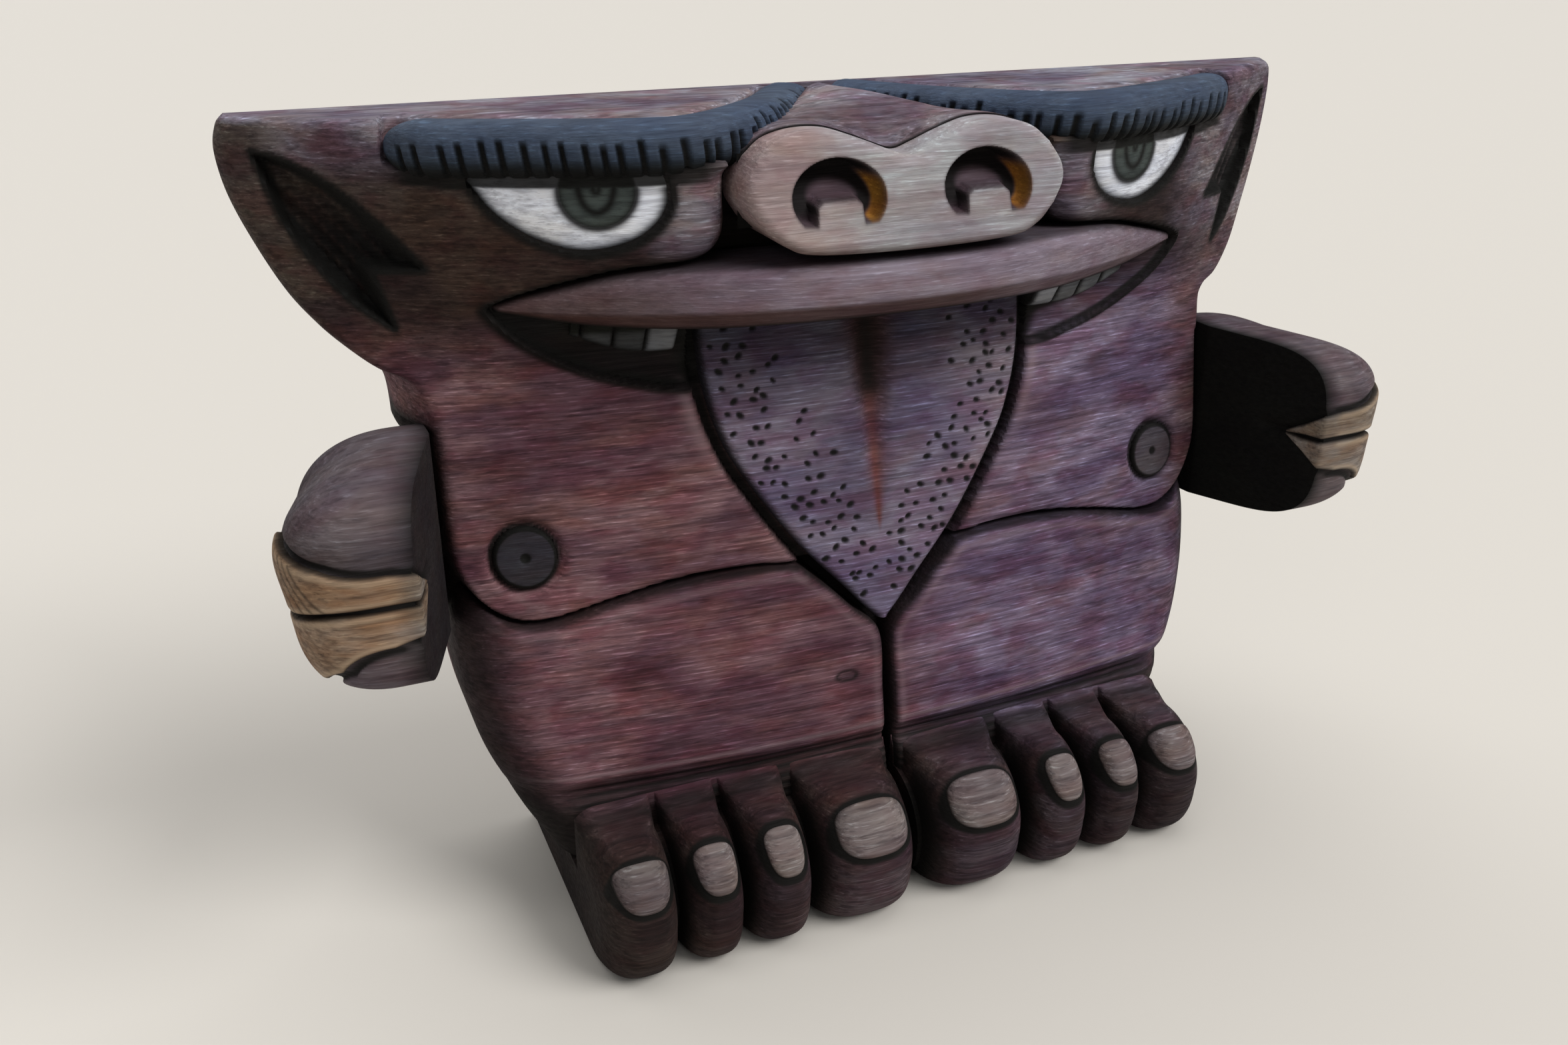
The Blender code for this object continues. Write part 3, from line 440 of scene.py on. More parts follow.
def add(tree, kind, inputs=None, **settings):
    """Adds one node: settings are its properties, and each input is a value or a socket to link from."""
    made = tree.nodes.new(kind)
    for name, value in settings.items():
        setattr(made, name, value)
    for key, value in (inputs or {}).items():
        if isinstance(value, bpy.types.NodeSocket):
            tree.links.new(value, made.inputs[key])
        else:
            made.inputs[key].default_value = value
    return made


# Mix node sockets: factor, first colour, second colour, and the colour out
FACTOR, FIRST, SECOND, MIXED = 0, 6, 7, 2

# Black of the burned lines, also laid on as painted shade in hollows, gaps, under overhangs and on sides
# turned from the light
BURN_AND_SHADE_BLACK = "#0c0b09"

# What a dark streak and a pale line of the grain do to the stain under them
STREAK_GAIN = (0.44, 0.43, 0.45, 1.0)
FLECK_GAIN = (2.2, 2.5, 2.55, 1.0)

# Grain of the wood in millimetres: along x, then across in y and z
GRAIN_SIZES = {"mottle": (13.0, 9.0, 6.0), "blush": (7.0, 5.0, 2.8), "wine": (5.0, 4.0, 2.4),
               "streak": (12.0, 0.9, 0.5), "fleck": (2.6, 0.5, 0.15), "pore": (3.0, 0.4, 0.2)}

# Fine ridges left along the grain: their spacing, and how much longer than wide their wander is
RIDGE_SPACING = 0.5
RIDGE_DRAW = 16.0
WAVE_PERIOD = 2 * math.pi / 20

# Roughness of the matt wood, from its close bands to its open ones, and depth of the open grain
ROUGHNESS = (0.66, 0.86)
GRAIN_DEPTH = 0.3


def stained_wood(name, ground, tints=("#b2a6ba", "#e8c8b4", "#e4bac6"), washes=(), paints=(), worn="#8c787c",
                 flecks=0.5, streaks=0.6, turn=(0.0, 0.0, 0.0)):
    """Open-grained hardwood, carved by hand, stained and left matt. To the eye: a ground that drifts to
    cooler and warmer tints, dark streaks and pores drawn out along the grain, fine pale lines where the
    stain stands off, burned lines and rubbed edges; the burned black is also laid on as painted shade.
    A wash tints along an axis between two places, and a paint follows a mark on the points; some washes
    and paints are painted light and shade."""
    material = bpy.data.materials.new(name)
    material.use_nodes = True
    tree = material.node_tree
    tree.nodes.clear()
    place = add(tree, "ShaderNodeTexCoord").outputs["Object"]
    axes = add(tree, "ShaderNodeSeparateXYZ", {"Vector": place})
    grain = {}
    for key, size in GRAIN_SIZES.items():
        drawn = add(tree, "ShaderNodeMapping", {"Vector": place, "Rotation": turn,
                                                "Scale": tuple(1 / (MM * s) for s in size)})
        noise = add(tree, "ShaderNodeTexNoise", {"Vector": drawn.outputs[0], "Scale": 1.0, "Detail": 3.0,
                                                 "Roughness": 0.55, "Distortion": 0.25})
        grain[key] = noise.outputs["Fac"]
    pitch = WAVE_PERIOD / (MM * RIDGE_SPACING)
    combed = add(tree, "ShaderNodeMapping", {"Vector": place, "Rotation": turn,
                                             "Scale": (pitch / RIDGE_DRAW, 0.35 * pitch, pitch)})
    ridges = add(tree, "ShaderNodeTexWave", {"Vector": combed.outputs[0], "Scale": 1.0, "Distortion": 6.0,
                                             "Detail": 2.0, "Detail Scale": 1.3}, bands_direction="Z")
    broken = add(tree, "ShaderNodeMath", {0: ridges.outputs["Fac"], 1: grain["fleck"]}, operation="MULTIPLY")
    grain["ridge"] = broken.outputs[0]

    # Coats from the ground up: where each one lies, its colour, and how it goes over what is under it
    coats = []
    for tint, axis, start, end, amount in washes:
        grade = add(tree, "ShaderNodeMapRange", {"Value": axes.outputs[axis], "From Min": start * MM,
                                                 "From Max": end * MM, "To Max": amount},
                    interpolation_type="SMOOTHSTEP")
        coats.append((grade.outputs[0], linear(tint), "MIX"))
    for mark, paint in paints:
        read = add(tree, "ShaderNodeAttribute", attribute_name=mark)
        coats.append((read.outputs["Fac"], linear(paint), "MIX"))
    layers = (("mottle", 0.38, 0.60, 0.9, linear(tints[0])), ("blush", 0.47, 0.64, 0.6, linear(tints[1])),
              ("wine", 0.46, 0.62, 0.7, linear(tints[2])), ("streak", 0.46, 0.64, streaks, STREAK_GAIN),
              ("pore", 0.55, 0.66, 0.8 * streaks, STREAK_GAIN),
              ("ridge", 0.30, 0.62, 0.7 * flecks, FLECK_GAIN), ("fleck", 0.57, 0.69, flecks, FLECK_GAIN))
    for key, low, high, amount, gain in layers:
        shown = add(tree, "ShaderNodeMapRange", {"Value": grain[key], "From Min": low, "From Max": high,
                                                 "To Max": amount})
        coats.append((shown.outputs[0], gain, "MULTIPLY"))
    for mark, tint in (("wear", worn), ("burn_and_shade", BURN_AND_SHADE_BLACK)):
        read = add(tree, "ShaderNodeAttribute", attribute_name=mark)
        coats.append((read.outputs["Fac"], linear(tint), "MIX"))
    colour = linear(ground)
    for factor, tint, blend in coats:
        mixed = add(tree, "ShaderNodeMix", {FACTOR: factor, FIRST: colour, SECOND: tint}, data_type="RGBA",
                    blend_type=blend)
        colour = mixed.outputs[MIXED]

    height = add(tree, "ShaderNodeMath", {0: grain["streak"], 1: grain["fleck"]}, operation="ADD")
    relief = add(tree, "ShaderNodeBump", {"Height": height.outputs[0], "Strength": 0.35,
                                          "Distance": GRAIN_DEPTH * MM})
    sheen = add(tree, "ShaderNodeMapRange", {"Value": grain["streak"], "From Min": 0.3, "From Max": 0.7,
                                             "To Min": ROUGHNESS[0], "To Max": ROUGHNESS[1]})
    surface = add(tree, "ShaderNodeBsdfPrincipled", {"Base Color": colour, "Roughness": sheen.outputs[0],
                                                     "IOR": 1.5, "Specular IOR Level": 0.14,
                                                     "Normal": relief.outputs[0]})
    add(tree, "ShaderNodeOutputMaterial", {"Surface": surface.outputs[0]})
    return material


X, Z = 0, 2

FINISHES = {
    # Mahogany block, stained olive brown on the head, wine red left on the chest and violet right on it;
    # washes also paint shade on its left side, and light on its right side and along the top of the head
    "stained_block": stained_wood(
        "stained_mahogany_block", "#745759", streaks=0.75,
        washes=[("#72677c", X, -4, 26, 0.85), ("#7c4e38", X, 38, 45, 0.55), ("#2c2116", Z, 58, 68, 0.92),
                # On the next line, after the upper head's stain: painted shade to the left and painted light
                # to the right; on the line after it, painted light along the top of the head
                ("#5c524a", Z, 75, 82, 0.85), ("#51483f", X, -45, -58, 0.5), ("#665c5e", X, 36, 50, 0.7),
                ("#86858f", Z, 83.7, 84.4, 0.85)],
        paints=[("mouth", "#0e0f0b"), ("hollow", "#070605"), ("pale", "#827b80")]),
    # The same mahogany, stained wine red on the left leg and violet on the right; feet nearly black
    "stained_skin": stained_wood(
        "stained_mahogany_limbs", "#705256", streaks=0.75,
        washes=[("#72667c", X, -3, 12, 0.8), ("#302620", Z, 17, 13.5, 0.92)], paints=[("toe", "#4e4247")]),
    # Mahogany left nearly bare and oiled: pale mauve grey, warmer on the left; its paints also lay on
    # painted shade under the snout and lip, at the lip's ends and in the nostrils, and painted light in
    # ochre on the nostrils' walls
    "pale_stain": stained_wood(
        "oiled_mahogany_snout", "#959495", tints=("#e6dfe6", "#f0e2d8", "#f0e0e4"), worn="#aaa1a4",
        streaks=0.35, flecks=0.25, washes=[("#948480", X, -3, -14, 0.95)],
        paints=[("rose", "#80747f"), ("dusk", "#4c3a35"), ("hollow", "#54414a"), ("ochre", "#a06e28"),
                ("under", "#46302a")]),
    # Violet stain on the tongue, greyer on its right and slate towards the mouth
    "violet_stain": stained_wood(
        "violet_stained_mahogany", "#726876", tints=("#cac8e0", "#e8c8c4", "#e4c4d8"),
        washes=[("#80747c", X, 5, 12, 0.9), ("#30313a", Z, 51, 65, 0.85)], paints=[("red", "#64362a")]),
    # Slate stain on the brows, darker towards the hairs
    "slate_stain": stained_wood(
        "slate_stained_mahogany", "#414b5b", tints=("#dfe6f2", "#e6e0d8", "#e8e6ea"), flecks=0.25,
        streaks=0.35, paints=[("thin", "#1a2022")]),
    # White paint brushed over the wood, chalky, with the grain showing through; on the teeth, painted shade
    # from the mouth
    "white_paint": stained_wood(
        "white_brushed_paint", "#eaedf5", tints=("#e6e7ea", "#eee9e0", "#eeeef0"), flecks=0.08,
        streaks=0.55, paints=[("iris", "#444b48"), ("mouth_shade", "#14150f")]),
    # Grey stain on the hands and nipples; the palms near black, their dark stain deepened as painted shade
    "grey_stain": stained_wood(
        "grey_stained_mahogany", "#615759", tints=("#d6d2e0", "#e6d4cc", "#e8d4da"), flecks=0.3,
        streaks=0.55, paints=[("palm", "#0b0b08"), ("disc", "#3d3c42")]),
    # Bare teak on the fingers, whose figure runs aslant, greyed at the tips
    "tan_wood": stained_wood(
        "bare_teak_fingers", "#938071", tints=("#e6dccb", "#f0d6b8", "#ead8cc"), worn="#ab967d",
        turn=(0.0, 0.35, 0.3), streaks=0.7, flecks=0.25, paints=[("tip", "#736d68")]),
    # Bare mahogany nails with fine slanting grain
    "nail_wood": stained_wood(
        "bare_mahogany_nails", "#6d6360", tints=("#e6e2ea", "#f0dfd2", "#ece0e2"), turn=(0.0, 0.5, 0.0),
        streaks=0.7, flecks=0.4),
    # Beech dowels inside the joints
    "dowel_wood": stained_wood(
        "beech_dowel", "#c8a878", tints=("#f2e8dc", "#f6e2c8", "#f4e6d8"), flecks=0.1, streaks=0.3),
}


# Surfaces of the block

def head_front(x):
    """Bowed front of the head: a parabola across."""
    return HEAD_FRONT + x * x / HEAD_BOW


def body_front(x, z):
    """Front of the chest and legs: leans back with height and bows back a little across."""
    return BODY_FRONT + BODY_LEAN * z + x * x / BODY_BOW


def face_front(x, z):
    """Front of the block before carving: the chest's lean passes over to the bowed head above the neck."""
    return body_front(x, z) + step(56, 69, z) * (head_front(x) - body_front(x, z))


def lip_front(x):
    """Bowed front of the upper lip."""
    return LIP_FRONT + x * x / LIP_BOW


def snout_front(z):
    """Flat face of the snout, tipped back at the top."""
    return SNOUT_FRONT + SNOUT_LEAN * (z - SNOUT_FOOT[0][1])


def palm_x(y):
    """Inner face of a hand, which opens out in front of its bend."""
    return PALM_X + PALM_FLARE * np.maximum(PALM_BEND_Y - y, 0)


BROW_LINE = curve(BROW_PATH, shares(200))
LOWER_LIP = curve(LOWER_LIP_LINE, shares(60))
UPPER_LIP = curve(UPPER_LIP_TOP, shares(60))
MOUTH = np.concatenate([[(-2.0, 57.0)], LOWER_LIP[::-1], UPPER_LIP[::-1], [(-2.0, 71.4)]])
TONGUE_EDGE = curve(TONGUE_SIDE, shares(80))
TONGUE = np.concatenate([[(-2.0, 29.8)], TONGUE_EDGE, [(-2.0, 66.6)]])
CHEST_EDGE = curve(CHEST_FOOT, shares(80))
LEG_BED = np.concatenate([CHEST_EDGE, [(70.0, 55.0), (70.0, 0.0), (-2.0, 0.0), (-2.0, 37.0)]])
EYE_EDGE = curve(EYE_FOOT, shares(60))
EYE = np.concatenate([EYE_EDGE, [(39.6, 80.6), (23.6, 80.6)]])
EAR = np.concatenate([curve(EAR_HOLLOW[:5], shares(30)), [EAR_HOLLOW[5]], curve(EAR_HOLLOW[6:], shares(30))])


def brow_back(x):
    """How far back the wood behind a brow lies: the brow's path moved back by half its thickness."""
    edge = BROW_LINE - BROW_BED * sideways(BROW_LINE)
    order = np.argsort(edge[:, 0])
    return np.interp(x, edge[order, 0], edge[order, 1])


def make_body():
    """The block: rows at even heights and columns at even shares of the half width, with y the front of the
    head or chest, cut back by the mouth, ears, nose bay, eyes, brow rebate and the beds of tongue and legs.
    The neck swells out behind the front by a quarter sine of the depth."""
    side = curve(SIDE_LINE, shares(500))
    height = np.linspace(SEAT, TOP, BODY_ROWS)
    half = np.interp(height, side[:, 1], side[:, 0])[:, None]
    x = np.linspace(-1, 1, BODY_COLUMNS)[None] * half
    z = np.broadcast_to(height[:, None], x.shape)
    reach = np.abs(x)
    y = face_front(x, z)

    # How far each point lies from the carved outlines, negative inside the closed ones
    edge = half - reach
    tongue = beyond(reach, z, TONGUE)
    mouth = beyond(reach, z, MOUTH)
    legs = beyond(reach, z, LEG_BED)
    eye = beyond(reach, z, EYE)
    ear = beyond(reach, z, EAR)
    lower_lip = distance(reach, z, LOWER_LIP)
    upper_lip = distance(reach, z, UPPER_LIP)
    bay = reach - BAY_HALF - roll(z - BAY_FOOT, BAY_FLARE)
    nipple = np.hypot(reach - NIPPLE_X, z - NIPPLE_Z) - NIPPLE_RADIUS

    # The chest, rounded along the legs, its sides and the tongue
    above_legs = step(-0.3, 0.3, legs)
    y = y + step(57.5, 56.0, z) * above_legs * roll(legs, 0.7)
    y = y + step(60, 56, z) * above_legs * roll(edge, np.where(x < 0, 1.6, 0.7))
    y = y + step(66, 57, z) * roll(tongue - 1.0, 1.2) * (tongue > 0)

    # The mouth, deeper away from the lower lip, and the rounded seat of the upper lip
    y = y + step(0.3, -0.3, mouth) * np.clip(1.0 + MOUTH_SLOPE * lower_lip, 0, MOUTH_DEPTH)
    y = y + step(0.0, 1.0, mouth) * 0.5 * line_mark(lower_lip - 0.5, 0.9)
    y = y + step(68, 70, z) * roll(upper_lip, 1.3) * (mouth > 0)

    # The ears, hollowed in slanting gouges
    hollow = step(0.15, -0.45, ear)
    across = (reach - EAR_HOLLOW[0][0]) * GOUGE_WAY[0] + (z - EAR_HOLLOW[0][1]) * GOUGE_WAY[1]
    gouge = np.abs(np.sin(np.pi * across / GOUGE_WIDTH))
    y = y + hollow * (EAR_DEPTH + GOUGE_DEPTH * gouge + EAR_DISH * step(0.2, 1.4, -ear))

    # The nose bay, and the beds of eyes, brows, tongue, legs and nipples
    y = y + step(70, 72, z) * step(81, 79, z) * roll(bay, BAY_ROUND)
    y = y + step(0.4, -0.4, bay) * step(71.0, 71.6, z) * (BAY_FLOOR - y)
    y = y + EYE_BED * step(0.1, -0.3, eye)
    rebate = step(80.3, 81.4, z) * step(47.2, 45.6, reach)
    y = y + rebate * np.maximum(brow_back(reach) - y, 0)
    y = np.where(tongue < 1.2, np.maximum(y, body_front(x, z) + TONGUE_BED), y)
    y = y + step(0.2, -0.4, legs) * (LEG_BED_DEPTH + roll(edge, LEG_BED_ROUND))
    y = y + RING_DEPTH * line_mark(nipple - 0.3, 0.45) + NIPPLE_BED * step(0.0, -0.4, nipple)

    # The rounded rim of the head
    y = y + step(57, 60, z) * roll(edge, 1.5) + roll(TOP - z, 1.2)
    y = np.minimum(y, BACK - 0.9)

    wider = step(56, 61, z)
    # Painted shade along the sides of the chest, in the groove beside the hands, wider on the left
    chest_rim = line_mark(edge, np.where(x < 0, 0.9, 0.3)) * step(57, 55, z) * step(35, 37, z)
    # Painted shade under the brows: black from the brow's foot up to the rebate behind it
    brow_foot = BROW_SHADE_Z + 0.5 * step(40, 46, reach) + 0.5 * step(26, 20, reach)
    under_brow = step(0.0, 0.4, z - brow_foot) * step(82.5, 81.5, z)
    burn_and_shade = np.maximum.reduce([
        0.95 * crisp_mark(lower_lip - 0.25, np.where(x < 0, 0.6, 0.36)) * (reach > 17),
        0.95 * crisp_mark(upper_lip - 0.1, 0.55) * (mouth > -0.6),
        0.98 * crisp_mark(tongue - 0.6 - 0.5 * wider, 0.95 + 0.6 * wider),
        0.85 * line_mark(legs, 0.32),
        0.95 * step(0.2, -0.5, legs),
        0.95 * chest_rim,
        0.98 * crisp_mark(eye - 0.2, 0.6),
        0.99 * step(0.95, 0.5, np.abs(ear + 0.2)),
        0.98 * crisp_mark(nipple - 0.1, 0.36),
        0.36 * line_mark(np.hypot(x + NIPPLE_X, z - NIPPLE_Z - 3.0), 3.8),
        # Painted shade in the nose bay round the snout
        0.85 * step(1.0, -0.6, bay) * step(71.0, 71.8, z) * step(84, 82, z),
        0.95 * under_brow * step(BAY_HALF, 20, reach) * step(46.6, 45, reach)])
    wear = 0.4 * line_mark(tongue - 2.2, 0.7) * step(46, 56, z) * step(59, 57, z)
    inner_cheek = step(BAY_HALF + 11, BAY_HALF + 3, reach) * step(0.4, 1.2, bay) * step(71, 74, z) * (z < 80)
    left_forehead = (x < 0) * step(78.8, 82.4, z) * step(58, 53, reach)
    # right_cheek is painted light on the right side of the head, which faces the light
    right_cheek = (x > 0) * step(35, 41, reach) * step(65, 70, z) * (1 - hollow)
    mouth_stain = 0.95 - 0.72 * (x > 0) * step(3.4, 2.4, lower_lip)
    marks = {"burn_and_shade": burn_and_shade, "wear": wear, "mouth": mouth_stain * step(0.2, -0.3, mouth),
             # The pale paint is lighter on the inner cheeks and the left forehead, and painted light on the
             # right cheek
             "pale": np.maximum(0.9 * inner_cheek + 0.7 * left_forehead, 0.5 * right_cheek),
             "hollow": hollow * (0.7 + 0.27 * step(0.1, 0.55, gouge) - 0.38 * step(72.5, 79.5, z))}

    points, quads, rims, origin, shape = shell(at(x, y, z), BACK, 8)
    front = y.ravel()[origin]
    depth = (points[:, 1] - front) / (BACK - front)
    swell = NECK_SWELL * step(62.5, 58.5, points[:, 2]) * step(50, 54, points[:, 2])
    points[:, 0] += np.sign(points[:, 0]) * swell * np.sin(np.pi / 2 * np.clip(1.4 * depth, 0, 1))
    carved("body_block", (points, quads, rims, origin, shape), "stained_block", marks)


def make_bridge():
    """The nose bridge between the brows: loops across at steps of y, each a roof with a ridge in the middle,
    straight sides and a flat foot; the roof sinks to the snout's notched top at the front."""
    snout_top = curve(mirrored(SNOUT_TOP), shares(200))
    y = np.linspace(BRIDGE_Y[0], BRIDGE_Y[-1], 60)[:, None]
    half = np.interp(y, BRIDGE_Y, BRIDGE_HALF)
    share = np.linspace(-1, 1, 61)[None]
    x = share * half
    roof = BRIDGE_TOP + BRIDGE_RISE * step(-1.0, 12.0, y)
    roof = roof + 0.5 * (1 - np.abs(share)) - 0.9 * np.abs(share)**4
    low = np.interp(x, snout_top[:, 0], snout_top[:, 1]) + 0.15
    z = low + step(-0.8, 6.5, y) * (roof - low)
    top = at(x, y, z)
    foot = top[:, ::-1].copy()
    foot[..., 2] = BRIDGE_FOOT
    burn_and_shade = 0.9 * line_mark((1 - np.abs(share)) * half, 0.7) + 0.9 * line_mark(y - BRIDGE_Y[0], 0.5)
    burn_and_shade = np.concatenate([burn_and_shade, np.ones_like(burn_and_shade)], axis=1)
    form = tube(np.concatenate([top, foot], axis=1))
    carved("nose_bridge", form, "stained_block", {"burn_and_shade": burn_and_shade, "pale": 0.78})


def make_snout():
    """The snout: a flat tipped face with a rounded rim, and two horseshoe nostrils, each an arc of an
    ellipse sunk round a tab and deeper towards its top."""
    u = shares(240, 0.3)
    v = shares(90, 0.3)
    right = curve(SNOUT_SIDE, v)
    flat = patch(curve(mirrored(SNOUT_FOOT), u), right, curve(mirrored(SNOUT_TOP), u), right * (-1, 1), u, v)
    x, z = flat[..., 0], flat[..., 1]
    rim = np.concatenate([flat[0], flat[1:, -1], flat[-1, -2::-1], flat[-2::-1, 0]])
    edge = distance(x, z, rim)
    sweep = np.radians(np.linspace(218, -38, 50))
    arc = np.stack([NOSTRIL_HALF_WIDTH * np.cos(sweep), NOSTRIL_HALF_HEIGHT * np.sin(sweep)], axis=1)
    aside = np.abs(x) - NOSTRIL_X
    up = z - NOSTRIL_Z
    hole = beyond(aside, up, np.concatenate([arc, NOSTRIL_TAB]))
    sunk = step(0.12, -0.4, hole)
    y = snout_front(z) + roll(edge, SNOUT_ROUND)
    y = y + sunk * (NOSTRIL_DEPTH + NOSTRIL_DEEPER * step(-1.5, 2.4, up))
    inside = step(0.3, -0.1, hole)
    wall = distance(aside, up, arc)
    from_middle = x - np.sign(x) * NOSTRIL_X
    lit_wall = step(1.8, 3.4, from_middle) * step(1.0, 0.5, wall) * step(2.4, 1.0, up)
    dark_wall = inside * step(2.7, 1.8, wall) * step(-2.9, -1.0, up)
    # Inside each nostril: painted shade over its upper arch, and painted light in ochre on its right wall;
    # the under paint is painted shade along the snout's lower rim
    marks = {"hollow": 0.92 * inside, "ochre": 0.95 * inside * lit_wall,
             "burn_and_shade": np.maximum(0.95 * dark_wall * (1 - 0.9 * lit_wall), 0.6 * line_mark(hole, 0.22)),
             "under": 0.6 * step(1.2, 0.0, edge) * step(76, 73, z)}
    carved("snout", shell(at(x, y, z), SNOUT_BACK, 4), "pale_stain", marks)


def make_lip():
    """The upper lip: a bowed bar with a rounded top edge and a broad facet turned under below."""
    u = shares(320)
    v = shares(44)
    foot = curve(mirrored(UPPER_LIP_FOOT), u)
    head = curve(mirrored(UPPER_LIP_TOP) - (0.0, LIP_GAP), u)
    flat = ruled(foot, head, v)
    x, z = flat[..., 0], flat[..., 1]
    tall = (head[:, 1] - foot[:, 1])[None]
    rise = v[:, None] * tall
    facet = LIP_FACET * tall
    y = lip_front(x) + LIP_UNDERCUT * np.maximum(facet - rise, 0) + 0.12 * line_mark(rise - facet, 0.6)
    y = y + roll(tall - rise, np.minimum(LIP_ROUND, 0.5 * tall))
    y = y + roll(LIP_HALF - np.abs(x), 0.7)
    # Painted shade on the facet turned under the lip, less to the right, and towards the lip's ends, most on
    # the left
    marks = {"under": 0.85 * step(0.2, -0.5, rise - facet) * (1 - 0.6 * step(4, 16, x)),
             "burn_and_shade": 0.9 * line_mark(rise, 0.35) + 0.7 * line_mark(tall - rise, 0.3),
             "rose": 0.92,
             "dusk": 0.8 * step(-10, -32, x) + 0.4 * step(14, 34, x)}
    carved("upper_lip", shell(at(x, y, z), LIP_BACK, 3), "pale_stain", marks)


def scatter(low, high, spacing, jitter, seed):
    """Points of a staggered grid, each moved a little by a seeded random amount."""
    random = np.random.default_rng(seed)
    a, b = np.meshgrid(np.arange(low[0], high[0], spacing), np.arange(low[1], high[1], 0.86 * spacing))
    a = a + 0.5 * spacing * (np.arange(len(a)) % 2)[:, None]
    points = np.stack([a.ravel(), b.ravel()], axis=1)
    return points + random.uniform(-jitter, jitter, points.shape), random


def make_tongue():
    """The tongue: a flat panel with a groove that narrows down its middle and oval dots along its sides,
    each a flat-topped bell of the sixth power."""
    u = shares(260, 0.2)
    v = shares(260)
    right = curve(TONGUE_SIDE, v)
    left = right * (-1, 1)
    foot = np.linspace(left[0], right[0], len(u))
    head = np.linspace(left[-1], right[-1], len(u))
    flat = patch(foot, right, head, left, u, v)
    x, z = flat[..., 0], flat[..., 1]
    edge = distance(np.abs(x), z, TONGUE_EDGE)
    groove_half = np.interp(z, GROOVE_Z, GROOVE_HALF)
    groove = line_mark(x / groove_half, 1.0) * step(39.2, 41.5, z)
    spots, random = scatter((-18, 30), (18, 65), DOT_SPACING, DOT_JITTER, 7)
    aside = np.abs(spots[:, 0])
    inset = distance(aside, spots[:, 1], TONGUE_EDGE)
    band = DOT_BAND + random.uniform(-3.2, 2.6, len(spots))
    inside = beyond(aside, spots[:, 1], TONGUE) < -0.9
    spots = spots[inside & (inset < band) & (aside > 0.6)]
    size = random.uniform(0.75, 1.15, len(spots))
    lean = random.uniform(-0.8, 0.8, len(spots))
    dx = x[..., None] - spots[:, 0]
    dz = z[..., None] - spots[:, 1]
    along = (dx * np.cos(lean) + dz * np.sin(lean)) / (DOT_HALF_LENGTH * size)
    over = (dz * np.cos(lean) - dx * np.sin(lean)) / (DOT_HALF_WIDTH * size)
    dots = np.exp(-(along * along + over * over)**3).max(-1)
    y = body_front(x, z) - TONGUE_LIFT + roll(edge, 1.0) * step(66, 63, z)
    y = y + GROOVE_DEPTH * groove * step(40, 58, z) + DOT_DEPTH * dots
    dark_groove = line_mark(x / groove_half, 1.25) * step(52.4, 55.4, z)
    dusky_middle = line_mark(x, 6.0) * step(38, 47, z) * (1 - groove)
    # The top of the tongue, under the upper lip, is darkened as painted shade
    burn_and_shade = np.maximum.reduce([dots, 0.9 * line_mark(edge, 0.4), 0.95 * dark_groove, 0.6 * step(63.0, 66, z),
                              0.25 * dusky_middle])
    marks = {"burn_and_shade": burn_and_shade, "red": 0.85 * groove}
    carved("tongue", shell(at(x, y, z), TONGUE_BACK), "violet_stain", marks)


def make_brow(name, side, seed):
    """A brow: a rounded bar carried along its path in plan, blunt at the outer end and broader at the inner
    one, with short hairs cut across its lower half as narrow dents, closer together towards the nose."""
    random = np.random.default_rng(seed)
    line = curve(BROW_PATH, shares(420))
    out = sideways(line)
    length = run_length(line)
    end = np.sqrt(np.clip(1 - np.clip(1 - length / BROW_END, 0, 1)**2, 0.03, 1))
    c, s = circle(56)
    broad = BROW_HALF_WIDTH + 0.6 * step(24, 36, length)
    wide = broad[:, None] * squared(c, 0.75)
    tall = BROW_HALF_HEIGHT * squared(s, 0.8)
    share = (np.arange(HAIRS) + 0.5) / HAIRS
    places = 1.2 + (length[-1] - 1.6) * (1.3 * share - 0.3 * share**2) + random.uniform(-0.3, 0.3, HAIRS)
    width = random.uniform(0.26, 0.36, HAIRS)
    reach = random.uniform(0.0, 0.6, HAIRS) + 0.7 * step(0.45, 0.7, share) - 0.3 * (side > 0)
    slant = HAIR_SLANT * tall[None, :, None]
    hair = line_mark(((length[:, None, None] - places + slant) / width)**2, 1.0)
    upper = step(reach + 0.35, reach, tall[None, :, None] * 0.6)
    facing = step(-0.2, 0.5, c)[None, :, None]
    notch = (hair * upper * facing).max(-1)
    wide = wide * end[:, None] - HAIR_DEPTH * notch * (c > 0)
    up = BROW_MIDDLE + tall[None] * end[:, None]
    plan = line[:, None] + out[:, None] * wide[..., None]
    plan[..., 1] = np.minimum(plan[..., 1], BACK - 0.1)
    sections = np.concatenate([plan, up[..., None]], axis=-1)
    # Black along the brow's underside: a burned line deepened as painted shade under the overhang
    marks = {"burn_and_shade": np.maximum(0.97 * notch, 0.92 * step(-0.1, -0.75, s)),
             "thin": 0.9 * step(0.35, -0.6, s)}
    carved(name, tube(sections), "slate_stain", marks, side)


